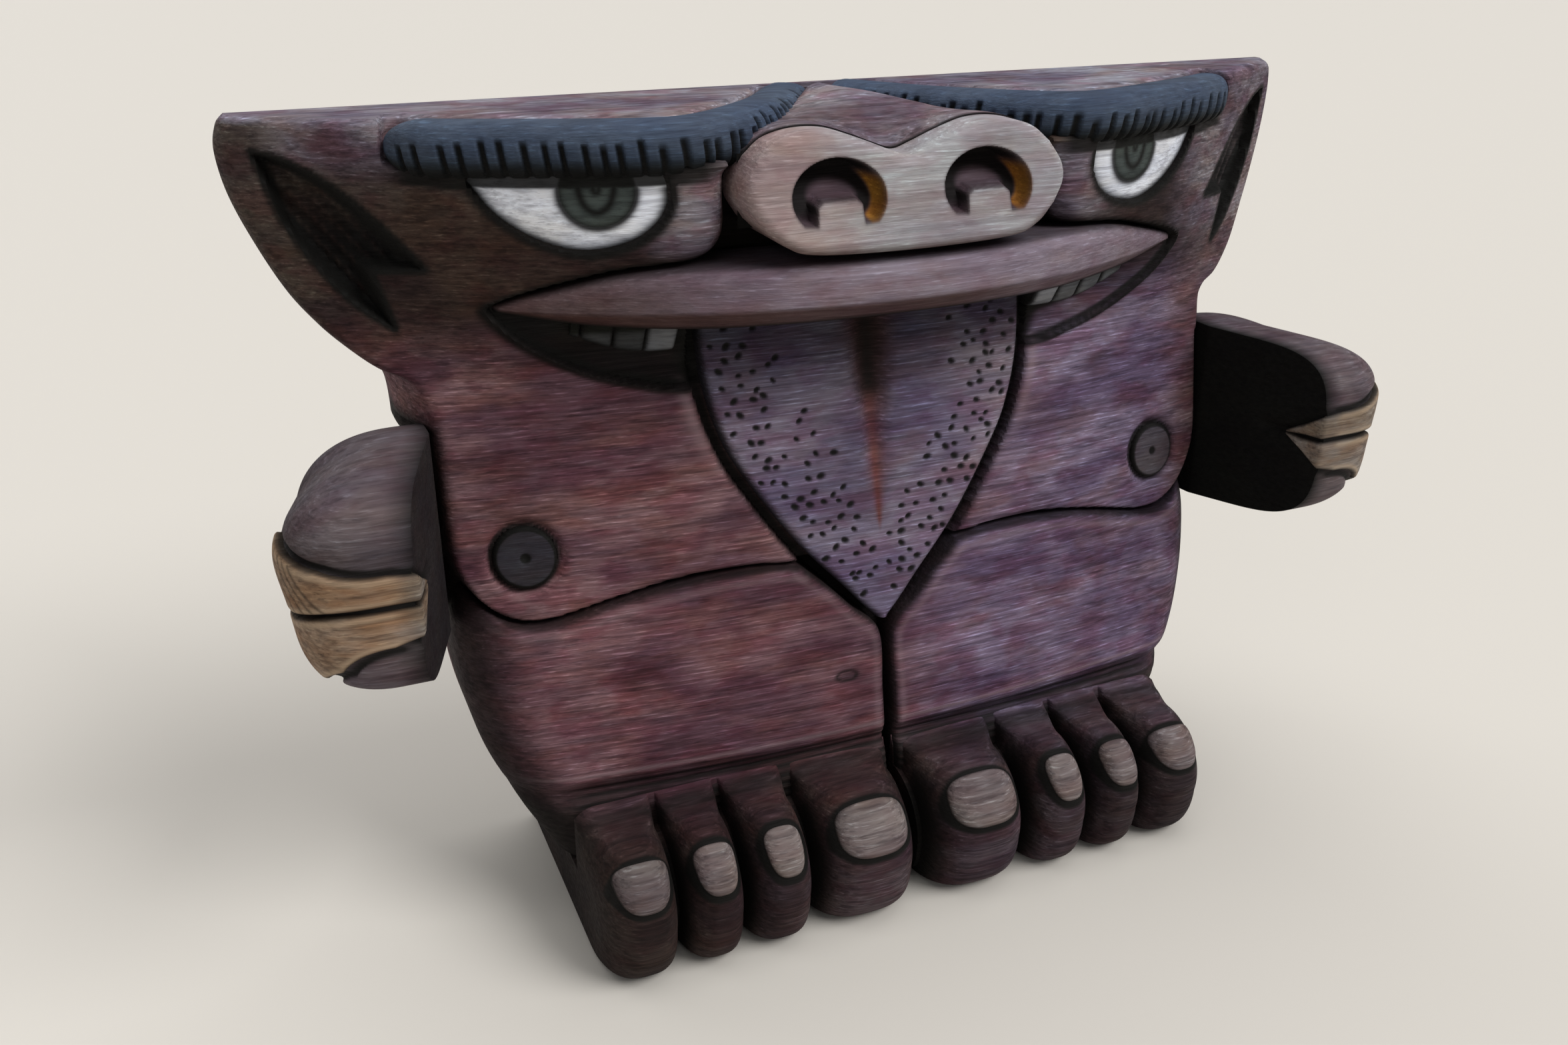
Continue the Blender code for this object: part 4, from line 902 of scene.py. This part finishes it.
def make_eye(name, side):
    """An eye: a sunk almond, a little domed, painted white, with a ringed iris and a U-shaped pupil."""
    u = shares(170, 0.2)
    v = shares(80)
    foot = curve(EYE_FOOT, u)
    head = curve(EYE_HEAD, u)
    flat = ruled(foot, head, v)
    x, z = flat[..., 0], flat[..., 1]
    edge = distance(x, z, EYE_EDGE)
    y = head_front(x) + EYE_SINK - EYE_DOME * step(0, 3.2, edge)
    around = np.hypot(x - IRIS_X, z - IRIS_Z)
    burn_and_shade = np.maximum.reduce([
        0.95 * line_mark(around - IRIS_RADIUS, 0.42),
        0.95 * line_mark(distance(x, z, curve(PUPIL, shares(40))), 0.42),
        0.9 * line_mark(distance(x, z, curve(PUPIL_CORE, shares(20))), 0.35),
        0.98 * line_mark(edge, 0.6),
        # Black across the top of the eye: a burned line with painted shade under the brow
        0.95 * step(78.45, 78.8, z)])
    iris = step(IRIS_RADIUS + 0.1, IRIS_RADIUS - 0.2, around)
    carved(name, shell(at(x, y, z), EYE_BACK), "white_paint", {"iris": iris, "burn_and_shade": burn_and_shade}, side)


def make_teeth(name, side):
    """Three teeth beside the tongue: a strip that bulges at each tooth, darker away from the tongue. The
    right ones start nearer the tongue and are paler."""
    u = shares(130)
    v = shares(40)
    start = TEETH_START[side]
    foot = curve([(start, TEETH_FOOT[0][1])] + TEETH_FOOT, u)
    head = np.linspace((start, TEETH_TOP), (TEETH_FOOT[-1][0], TEETH_TOP), len(u))
    flat = ruled(foot, head, v)
    x, z = flat[..., 0], flat[..., 1]
    tooth = (x - start) / TOOTH_WIDTH
    gap = np.abs(tooth - np.round(tooth)) * TOOTH_WIDTH
    edge = distance(x, z, foot)
    y = face_front(x, z) + TEETH_SINK + roll(gap, TOOTH_ROUND) + roll(edge, TOOTH_ROUND)
    burn_and_shade = np.maximum(0.97 * line_mark(gap, 0.3), 0.97 * line_mark(edge, 0.4))
    first, others = TEETH_SHADE[side]
    # Painted shade in the mouth darkens the teeth: most away from the tongue and on the left, and more just
    # under the lip
    mouth_shade = first + (others - first) * step(0.85, 1.15, tooth) + 0.1 * step(63.6, 65.2, z)
    carved(name, shell(at(x, y, z), TEETH_BACK), "white_paint", {"burn_and_shade": burn_and_shade, "mouth_shade": mouth_shade}, side)


def make_nipple(name, side):
    """A flat disc in rings about its middle, with a burned dot in the middle and a burned rim; the left one
    is darker."""
    c, s = circle(72)
    radius = NIPPLE_RADIUS * np.concatenate([np.linspace(0.03, 1, 30), [1.0]])[:, None]
    x = NIPPLE_X + radius * c
    z = NIPPLE_Z + radius * s
    y = body_front(x, z) - NIPPLE_LIFT + 0.25 * line_mark(radius, 0.5)
    y = y + roll(NIPPLE_RADIUS - radius, 0.5)
    y[-1] = NIPPLE_BACK
    ground, disc = (0.42, 0.95) if side < 0 else (0.0, 0.6)
    burn_and_shade = ground + 0.97 * step(0.65, 0.35, radius) + 0.97 * step(0.5, 0.25, NIPPLE_RADIUS - radius)
    carved(name, tube(at(x, y, z)), "grey_stain", {"burn_and_shade": burn_and_shade, "disc": disc}, side)


def make_leg(name, side):
    """A leg: a swelling panel between the seam, the tongue, the chest and the outer side, which rolls back.
    A knot is sunk beside the seam of the left one."""
    u = shares(190, 0.35)
    v = shares(160, 0.15)
    foot = np.linspace(LEG_INNER[0], LEG_OUTER[0], len(u))
    flat = patch(foot, curve(LEG_OUTER, v), curve(LEG_TOP, u), curve(LEG_INNER, v), u, v)
    x, z = flat[..., 0], flat[..., 1]
    outer = distance(x, z, flat[:, -1])
    upper = distance(x, z, flat[-1])
    inner = distance(x, z, flat[:, 0])
    y = body_front(x, z) - LEG_LIFT + roll(outer, LEG_ROUND) + roll(upper, 0.7) + roll(inner, 0.8)
    crease = step(18.3, 16.6, z) * step(42, 34, x)
    combed = 0.5 + 0.5 * np.sin(2 * np.pi * (z + 0.025 * x) / COMB_PITCH)
    y = y + CREASE_DEPTH * line_mark(z - CREASE_Z, 1.2) + 0.12 * crease * combed
    knot = line_mark(np.hypot((x - KNOT_X) / 1.5, (z - KNOT_Z) / 0.75), 1.0) * (side < 0)
    y = np.minimum(y + KNOT_DEPTH * knot, LEG_LIMIT)
    # Painted shade on the leg's outer roll, turned away from the light, reaching further in on the left leg
    dark_side = 7.5 if side < 0 else 4.2
    burn_and_shade = np.maximum.reduce([0.85 * step(dark_side, 1.0, outer), 0.85 * line_mark(upper, 0.35),
                              0.9 * line_mark(inner, 0.45), crease * (0.55 + 0.4 * combed),
                              0.85 * line_mark(knot - 0.55, 0.2), 0.5 * knot])
    wear = 0.2 * line_mark(upper - 1.0, 0.4) + 0.15 * line_mark(inner - 1.0, 0.4)
    wear = wear + 0.4 * line_mark(z - 18.2, 0.22)
    carved(name, shell(at(x, y, z), LEG_BACK, 3), "stained_skin", {"burn_and_shade": burn_and_shade, "wear": wear}, side)


def toe_shape(x):
    """For places across a foot: the share of the way from the middle of a toe to its side, from -1 to 1."""
    splits = np.array(TOE_SPLITS)
    k = np.clip(np.searchsorted(splits, x, side="right") - 1, 0, len(splits) - 2)
    middle = (splits[k] + splits[k + 1]) / 2
    return (x - middle) / ((splits[k + 1] - splits[k]) / 2)


def toe_back(x):
    """How far the side of a toe stands back from its tip, from 0 in the middle to 1 at its side:
    1 - sqrt(1 - u^2.8), with the last tenth of the way the floor of a gap; the foot's outer side is rounder,
    with the power 2.4."""
    u = np.abs(toe_shape(x))
    gap = 1 - np.sqrt(1 - np.clip(u / 0.9, 0, 1)**2.8)
    outer = 1 - np.sqrt(1 - np.clip(u, 0, 1)**2.4)
    return np.where(x > (TOE_SPLITS[-2] + TOE_SPLITS[-1]) / 2, outer, gap)


def toe_point(x, turn, lift=0.0):
    """A point on the rounding of a toe: turn is the angle above the level, about a centre that stands back
    and down towards the sides of the toe; lift is how far it stands off the wood."""
    radius = TOE_RADIUS + lift
    y = TOE_FRONT + TOE_RADIUS + GAP_DEPTH * toe_back(x) - radius * np.cos(turn)
    z = FOOT_TOP - TOE_RADIUS - GAP_DROP * toe_back(x) + radius * np.sin(turn)
    return y, z


def make_foot(name, side):
    """A foot: upright loops at steps across, each the profile of a toe - sole, rounded tip, top and heel -
    drawn back at the sides of each toe so that deep gaps part them."""
    spans = zip(TOE_SPLITS[:-1], TOE_SPLITS[1:])
    x = np.unique(np.concatenate([a + (b - a) * shares(60, 0.8) for a, b in spans]))[:, None]
    turn = np.radians(np.linspace(-12, 90, 72))[None]
    y, z = toe_point(x, turn)
    tuck = TOE_FRONT + TOE_TUCK
    rest = np.linspace(HEEL_Y[-1], tuck, 30)[None]
    sole_y = rest + GAP_DEPTH * toe_back(x) * step(-6, tuck, rest)
    bend = np.linspace(0, np.pi / 2, 12)[None, 1:-1]
    tip_y = sole_y[:, -1:] + (y[:, :1] - sole_y[:, -1:]) * np.sin(bend)
    tip_z = z[:, :1] * (1 - np.cos(bend))
    top = np.linspace(0, 1, 30)[None, 1:]
    top_y = y[:, -1:] + (INSTEP_Y - y[:, -1:]) * top
    top_z = z[:, -1:] + (FOOT_TOP - z[:, -1:]) * step(0.0, 0.5, top) + INSTEP_RISE * step(0.45, 1.0, top)
    each = np.ones_like(x)
    y = np.concatenate([sole_y, tip_y, y, top_y, each * HEEL_Y], axis=1)
    z = np.concatenate([np.zeros_like(sole_y), tip_z, z, top_z, each * HEEL_Z], axis=1)
    inset = FOOT_HIGH[0] - x
    z = z + (4.5 - z) * 0.10 * np.clip(1 - inset / 2.2, 0, 1)**2
    side_share = np.abs(toe_shape(x))
    # Painted shade in the gaps between the toes
    burn_and_shade = 0.97 * step(0.66, 0.92, side_share) * step(-6.5, -10.0, y) * (inset > 1.0)
    # Painted shade on the foot's outer side
    burn_and_shade = np.maximum(burn_and_shade, 0.6 * step(2.5, 0.0, inset))
    for number in range(len(NAILS)):
        burn_and_shade = np.maximum(burn_and_shade, 0.98 * step(0.85, 0.45, nail_edge(number, x, y, z)))
    burn_and_shade = np.maximum(burn_and_shade, 0.7 * line_mark(y + 6.6, 1.2) * step(10, 13, z))
    # More painted shade on the left foot's outer toes
    burn_and_shade = np.maximum(burn_and_shade, (0.35 if side < 0 else 0.0) * step(27, 31, x))
    toe = step(-8.5, -12.0, y) * step(0.95, 0.5, side_share) * step(13.5, 10.5, z) * step(28, 8, x)
    # The lighter tone on the toes' fronts is laid on more weakly on the left foot, as painted shade
    marks = {"burn_and_shade": burn_and_shade, "toe": toe * (0.7 if side < 0 else 0.95)}
    carved(name, tube(at(x, y, z)), "stained_skin", marks, side)


def nail_edge(number, x, y, z):
    """Distance from a nail's rim in the toe's surface, taken round its rounding; large on other faces."""
    middle, half_width, half_height, taper = NAILS[number]
    turn = np.arctan2(z - (FOOT_TOP - TOE_RADIUS), (TOE_FRONT + TOE_RADIUS) - y)
    up = TOE_RADIUS * (turn - NAIL_TURN)
    side = (x - middle) / (half_width * (1 + taper * up / half_height))
    share = (np.abs(side)**NAIL_POWER + np.abs(up / half_height)**NAIL_POWER)**(1 / NAIL_POWER)
    near = (np.abs(x - middle) < half_width + 1.5) & (y < -8) & (z > 3)
    return np.where(near, np.abs(share - 1) * min(half_width, half_height), 99.0)


def make_nail(name, number, side):
    """A toenail: rings of a rounded square drawn on the toe's rounding, domed and rolled at the rim."""
    middle, half_width, half_height, taper = NAILS[number]
    ring = np.concatenate([np.linspace(0.04, 0.88, 14), [0.94, 0.98, 1.0, 1.0]])[:, None]
    c, s = circle(64)
    up = ring * squared(s, NAIL_SQUARE) * half_height
    x = middle + ring * squared(c, NAIL_SQUARE) * half_width * (1 + taper * up / half_height)
    lift = NAIL_LIFT - roll((1 - ring) * 2.4, 0.5)
    lift[-1] = -NAIL_BED
    y, z = toe_point(x, NAIL_TURN + up / TOE_RADIUS, lift)
    # The left foot's outermost nail is darkened a little as painted shade
    ground = 0.28 if side < 0 and number == 3 else 0.0
    burn_and_shade = np.maximum(ground, 0.95 * step(0.92, 0.98, ring))
    carved(name, tube(at(x, y, z)), "nail_wood", {"burn_and_shade": burn_and_shade}, side)


# Sizes of a hand, and depth of the lines burned on it
HAND_MIDDLE_Y = 0.7
HAND_HALF_Y = 12.3
HAND_TOP = 55.9
HAND_FOOT = 34.1
HAND_FOOT_RISE = 0.08
HAND_FOOT_BACK = 9.0
HAND_RIM = 2.4
HAND_DOME = 12.2
DOME_LINE = 0.8
PALM_LINE = 0.3
DOME_POWER = 2.4
DOME_SAG = 0.16
DOME_SAG_Z = (56.0, 42.0)
# Half depth behind its middle and squareness there of each hand; the right one is deeper
HAND_BACKS = {-1: (12.3, 4), 1: (13.8, 5)}


def hand_height(y):
    """Middle and half of a hand's height: its top is level, and its foot rises towards the front."""
    foot = HAND_FOOT + HAND_FOOT_RISE * np.maximum(HAND_FOOT_BACK - y, 0)
    return (HAND_TOP + foot) / 2, (HAND_TOP - foot) / 2


def hand_reach(y, z, side):
    """Share of the way from the middle of a hand to its rim: a rounded square of the fourth power in front
    of its middle, and of the hand's own depth and power behind it."""
    half_back, square_back = HAND_BACKS[side]
    middle, half = hand_height(y)
    behind = y > HAND_MIDDLE_Y
    power = np.where(behind, square_back, 4)
    across = np.abs(y - HAND_MIDDLE_Y) / np.where(behind, half_back, HAND_HALF_Y)
    return (across**power + np.abs((z - middle) / half)**power)**(1 / power)


def hand_dome(y, z, side):
    """Outer face of a hand: a dome over the rim, a little squarer than round and flatter at the fingers."""
    share = np.clip(1 - hand_reach(y, z, side)**DOME_POWER, 0, 1)**(1 / DOME_POWER)
    return palm_x(y) + HAND_RIM + HAND_DOME * share * (1 - DOME_SAG * step(*DOME_SAG_Z, z))


# Stations along a finger: 0 at its point on the palm, 1 and 2 at the edges of the rim, 3 at its end; then
# the heights of its lines there
FINGER_STATIONS = (0.0, 1.0, 2.0, 2.12, 2.43, 3.0)
FINGER_HEAD = (46.4, 49.3, 49.6, 50.4, 51.2, 51.6)
FINGER_SPLIT = (46.1, 46.2, 46.2, 45.9, 44.9, 44.0)
FINGER_FOOT = (45.8, 42.6, 42.0, 39.9, 37.9, 36.9)
FINGER_POINT_Y = -7.4
FINGER_END_Y = -1.5
FINGER_LIFT = 0.4
FINGER_ROUND = 1.8
FINGER_CRACKS = (2.1, 2.17, 2.25, 2.36, 2.5, 2.66)
HAND_FRONT = HAND_MIDDLE_Y - HAND_HALF_Y
# A place inside each hand, from which its skin faces outwards
HAND_HEART = (52.0, 0.0, 45.5)
# How deep the foot of a finger lies under the skin of its hand
FINGER_BED = 1.2


def finger_run(y, dome):
    """Station along the fingers of a point on the palm or, where dome is true, on the dome."""
    on_dome = 2 + (y - HAND_FRONT) / (FINGER_END_Y - HAND_FRONT)
    on_palm = (y - FINGER_POINT_Y) / (HAND_FRONT - FINGER_POINT_Y)
    return np.where(dome, on_dome, np.minimum(on_palm, 1))


def make_hand(name, side):
    """A fist: rings on the flat palm, a rim, and rings up the dome to its top, with lines burned along the
    fingers."""
    c, s = circle(320)
    half_back, square_back = HAND_BACKS[side]
    power = np.where(c > 0, square_back, 4)
    square = (np.abs(c)**power + np.abs(s)**power)**(-1 / power)
    half_y = np.where(c > 0, half_back, HAND_HALF_Y)
    inner = np.concatenate([np.linspace(0.03, 0.9, 40), [0.95, 0.985, 1.0]])
    outer = np.sin(np.linspace(np.pi / 2, 0.05, 70))
    share = np.concatenate([inner, outer])[:, None]
    y = HAND_MIDDLE_Y + share * half_y * square * c
    middle, half = hand_height(y)
    z = middle + share * half * square * s
    dome = np.arange(len(share))[:, None] >= len(inner)
    x = np.where(dome, hand_dome(y, z, side), palm_x(y))
    run = finger_run(y, dome)
    along = step(3.02, 2.95, run) * step(-1.0, -0.4, run)
    over_head = z - np.interp(run, FINGER_STATIONS, FINGER_HEAD)
    # Painted shade on the left hand's dome, in a band over its fingers
    burn_and_shade = 0.48 * (side < 0) * dome * step(5.5, 0.0, over_head) * step(-0.5, 0.0, over_head)
    for line in (FINGER_HEAD, FINGER_SPLIT, FINGER_FOOT):
        away = z - np.interp(run, FINGER_STATIONS, line)
        burn_and_shade = np.maximum(burn_and_shade, 0.97 * crisp_mark(away, 0.5) * along)
        x = x + np.where(dome, -DOME_LINE, PALM_LINE) * line_mark(away, 0.5) * along
    # The palm paint is near black: the hand's dark stain deepened as painted shade, fullest on the right
    # palm, which is turned from the light
    palm = np.where(dome, 0.0, 1.0 if side > 0 else 0.86)
    carved(name, tube(at(x, y, z)), "grey_stain", {"burn_and_shade": burn_and_shade, "palm": palm}, side, 50)


def make_finger(name, foot_line, head_line, side, cracked):
    """A finger: a swelling strip between two lines that starts as a point on the palm, turns over the hand's
    front edge, follows its dome and ends in a round tip. It stands off that skin along its own normal."""
    run = np.concatenate([np.linspace(0, 1, 26), np.linspace(1, 2, 16)[1:], 2 + shares(70)[1:]**1.6])
    run = run[:, None]
    v = shares(44, 0.4)[None]
    start = np.clip(run, 0, 1)
    turn = np.clip(run - 1, 0, 1)
    away = np.clip(run - 2, 0, 1)
    y = FINGER_POINT_Y + start * (HAND_FRONT + 0.05 - FINGER_POINT_Y) + away * (FINGER_END_Y - HAND_FRONT)
    y = y - FINGER_ROUND * away**6 * (2 * v - 1)**2
    low = np.interp(run, FINGER_STATIONS, foot_line) + 0.2 * step(0, 0.6, run)
    high = np.interp(run, FINGER_STATIONS, head_line) - 0.2 * step(0, 0.6, run)
    z = low + v * (high - low)
    over_edge = np.where(run <= 2, palm_x(y) + HAND_RIM * turn, hand_dome(y, z, side))
    skin = at(np.where(run <= 1, palm_x(y), over_edge), y, z)
    normal = np.cross(np.gradient(skin, axis=0), np.gradient(skin, axis=1))
    normal /= np.linalg.norm(normal, axis=-1)[..., None]
    normal *= np.where((normal * (skin - HAND_HEART)).sum(-1) > 0, 1, -1)[..., None]
    edge = np.minimum(np.minimum(z - low, high - z), 6.0 * (3.0 - run))
    lift = FINGER_LIFT - roll(edge, FINGER_LIFT + 0.1)
    outer = skin + normal * lift[..., None]
    inner = skin - normal * FINGER_BED
    cracks = sum(line_mark(run - place - 0.22 * v, 0.014) for place in FINGER_CRACKS)
    burn_and_shade = np.maximum(0.9 * line_mark(edge, 0.22), 0.5 * step(0.5, 0.0, run))
    burn_and_shade = np.maximum(burn_and_shade, cracked * cracks)
    wear = 0.5 * line_mark(edge - 0.5, 0.3) * step(1.4, 2.2, run)
    grey_end = 2.15 if side < 0 else 3.0
    marks = {"burn_and_shade": np.concatenate([burn_and_shade, np.ones_like(burn_and_shade)], axis=1),
             "wear": np.concatenate([wear, np.zeros_like(wear)], axis=1),
             "tip": 0.85 * step(grey_end, grey_end - 1.2, run)}
    carved(name, tube(np.concatenate([outer, inner[:, ::-1]], axis=1)), "tan_wood", marks, side, 60)


make_body()
make_bridge()
make_snout()
make_lip()
make_tongue()
for word, sign in SIDES:
    make_brow("brow_" + word, sign, 11 + sign)
    make_eye("eye_" + word, sign)
    make_teeth("teeth_" + word, sign)
    make_nipple("nipple_" + word, sign)
    make_leg("leg_" + word, sign)
    make_foot("foot_" + word, sign)
    for toe in range(4):
        make_nail(f"toenail_{toe + 1}_{word}", toe, sign)
    make_hand("hand_" + word, sign)
    make_finger("finger_upper_" + word, FINGER_SPLIT, FINGER_HEAD, sign, 0.6)
    make_finger("finger_lower_" + word, FINGER_FOOT, FINGER_SPLIT, sign, 0.25)

# The dowels keep their CAD shape, with the beech finish
for dowel in ("snout_dowel", "hand_dowel_left", "hand_dowel_right", "foot_dowel_left", "foot_dowel_right"):
    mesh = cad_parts[dowel].data
    mesh.materials.clear()
    mesh.materials.append(FINISHES["dowel_wood"])


# Floor, backdrop, light and camera

def make_stage():
    """A level pale floor: one square sheet."""
    half = 3000.0
    corners = np.array([(-half, -half, 0.0), (half, -half, 0.0), (half, half, 0.0), (-half, half, 0.0)])
    mesh = bpy.data.meshes.new("stage")
    mesh.from_pydata(corners * MM, [], [(0, 1, 2, 3)])
    material = bpy.data.materials.new("pale_studio_paper")
    material.use_nodes = True
    paper = material.node_tree.nodes["Principled BSDF"]
    paper.inputs["Base Color"].default_value = linear("#c2bdb5")
    paper.inputs["Roughness"].default_value = 0.9
    mesh.materials.append(material)
    made = bpy.data.objects.new("stage", mesh)
    bpy.context.scene.collection.objects.link(made)


def aimed(place, back, up):
    """Pose of a lamp or camera at a place in millimetres, which looks away from its back. Its right is the
    cross product of up and back, and its own up that of back and right."""
    back = np.array(back, float) / np.linalg.norm(back)
    right = np.cross(up, back)
    right /= np.linalg.norm(right)
    pose = np.eye(4)
    pose[:3, :3] = np.stack([right, np.cross(back, right), back], axis=1)
    pose[:3, 3] = np.array(place) * MM
    return Matrix(pose.tolist())


def make_sun(name, place, spread, strength):
    """A broad distant lamp that shines from a place towards the middle; its spread is in degrees."""
    lamp = bpy.data.lights.new(name, "SUN")
    lamp.angle = math.radians(spread)
    lamp.energy = strength
    made = bpy.data.objects.new(name, lamp)
    made.matrix_world = aimed(place, place, (0, 1, 0))
    bpy.context.scene.collection.objects.link(made)


make_stage()
make_sun("key_light", (600, -560, 800), 34, 2.6)
make_sun("top_light", (40, 120, 700), 60, 1.6)
make_sun("fill_light", (-520, -420, 320), 40, 0.35)
make_sun("back_light", (-300, 600, 420), 50, 0.6)

world = bpy.data.worlds.new("studio")
world.use_nodes = True
sky = world.node_tree
sky.nodes.clear()
soft = add(sky, "ShaderNodeBackground", {"Color": linear("#f2f4f8"), "Strength": 0.22})
seen = add(sky, "ShaderNodeBackground", {"Color": linear("#e4dfd7"), "Strength": 1.0})
ray = add(sky, "ShaderNodeLightPath")
either = add(sky, "ShaderNodeMixShader", {0: ray.outputs["Is Camera Ray"], 1: soft.outputs[0],
                                          2: seen.outputs[0]})
add(sky, "ShaderNodeOutputWorld", {"Surface": either.outputs[0]})
bpy.context.scene.world = world
bpy.context.scene.view_settings.view_transform = "Standard"

# The camera stands where the figure's own symmetry puts the photographer
CAMERA_PLACE = (-63.34, -124.41, 103.61)
CAMERA_FORWARD = (0.3544, 0.8381, -0.4147)
CAMERA_FOCUS_PX = 2100.0
PHOTO_WIDTH_PX = 2352.0
SENSOR_WIDTH = 36.0
camera_data = bpy.data.cameras.new("camera")
camera_data.sensor_fit = "HORIZONTAL"
camera_data.sensor_width = SENSOR_WIDTH
camera_data.lens = SENSOR_WIDTH * CAMERA_FOCUS_PX / PHOTO_WIDTH_PX
camera_data.clip_start = 0.005
camera = bpy.data.objects.new("camera", camera_data)
camera.matrix_world = aimed(CAMERA_PLACE, -np.array(CAMERA_FORWARD), (0, 0, 1))
bpy.context.scene.collection.objects.link(camera)
bpy.context.scene.camera = camera
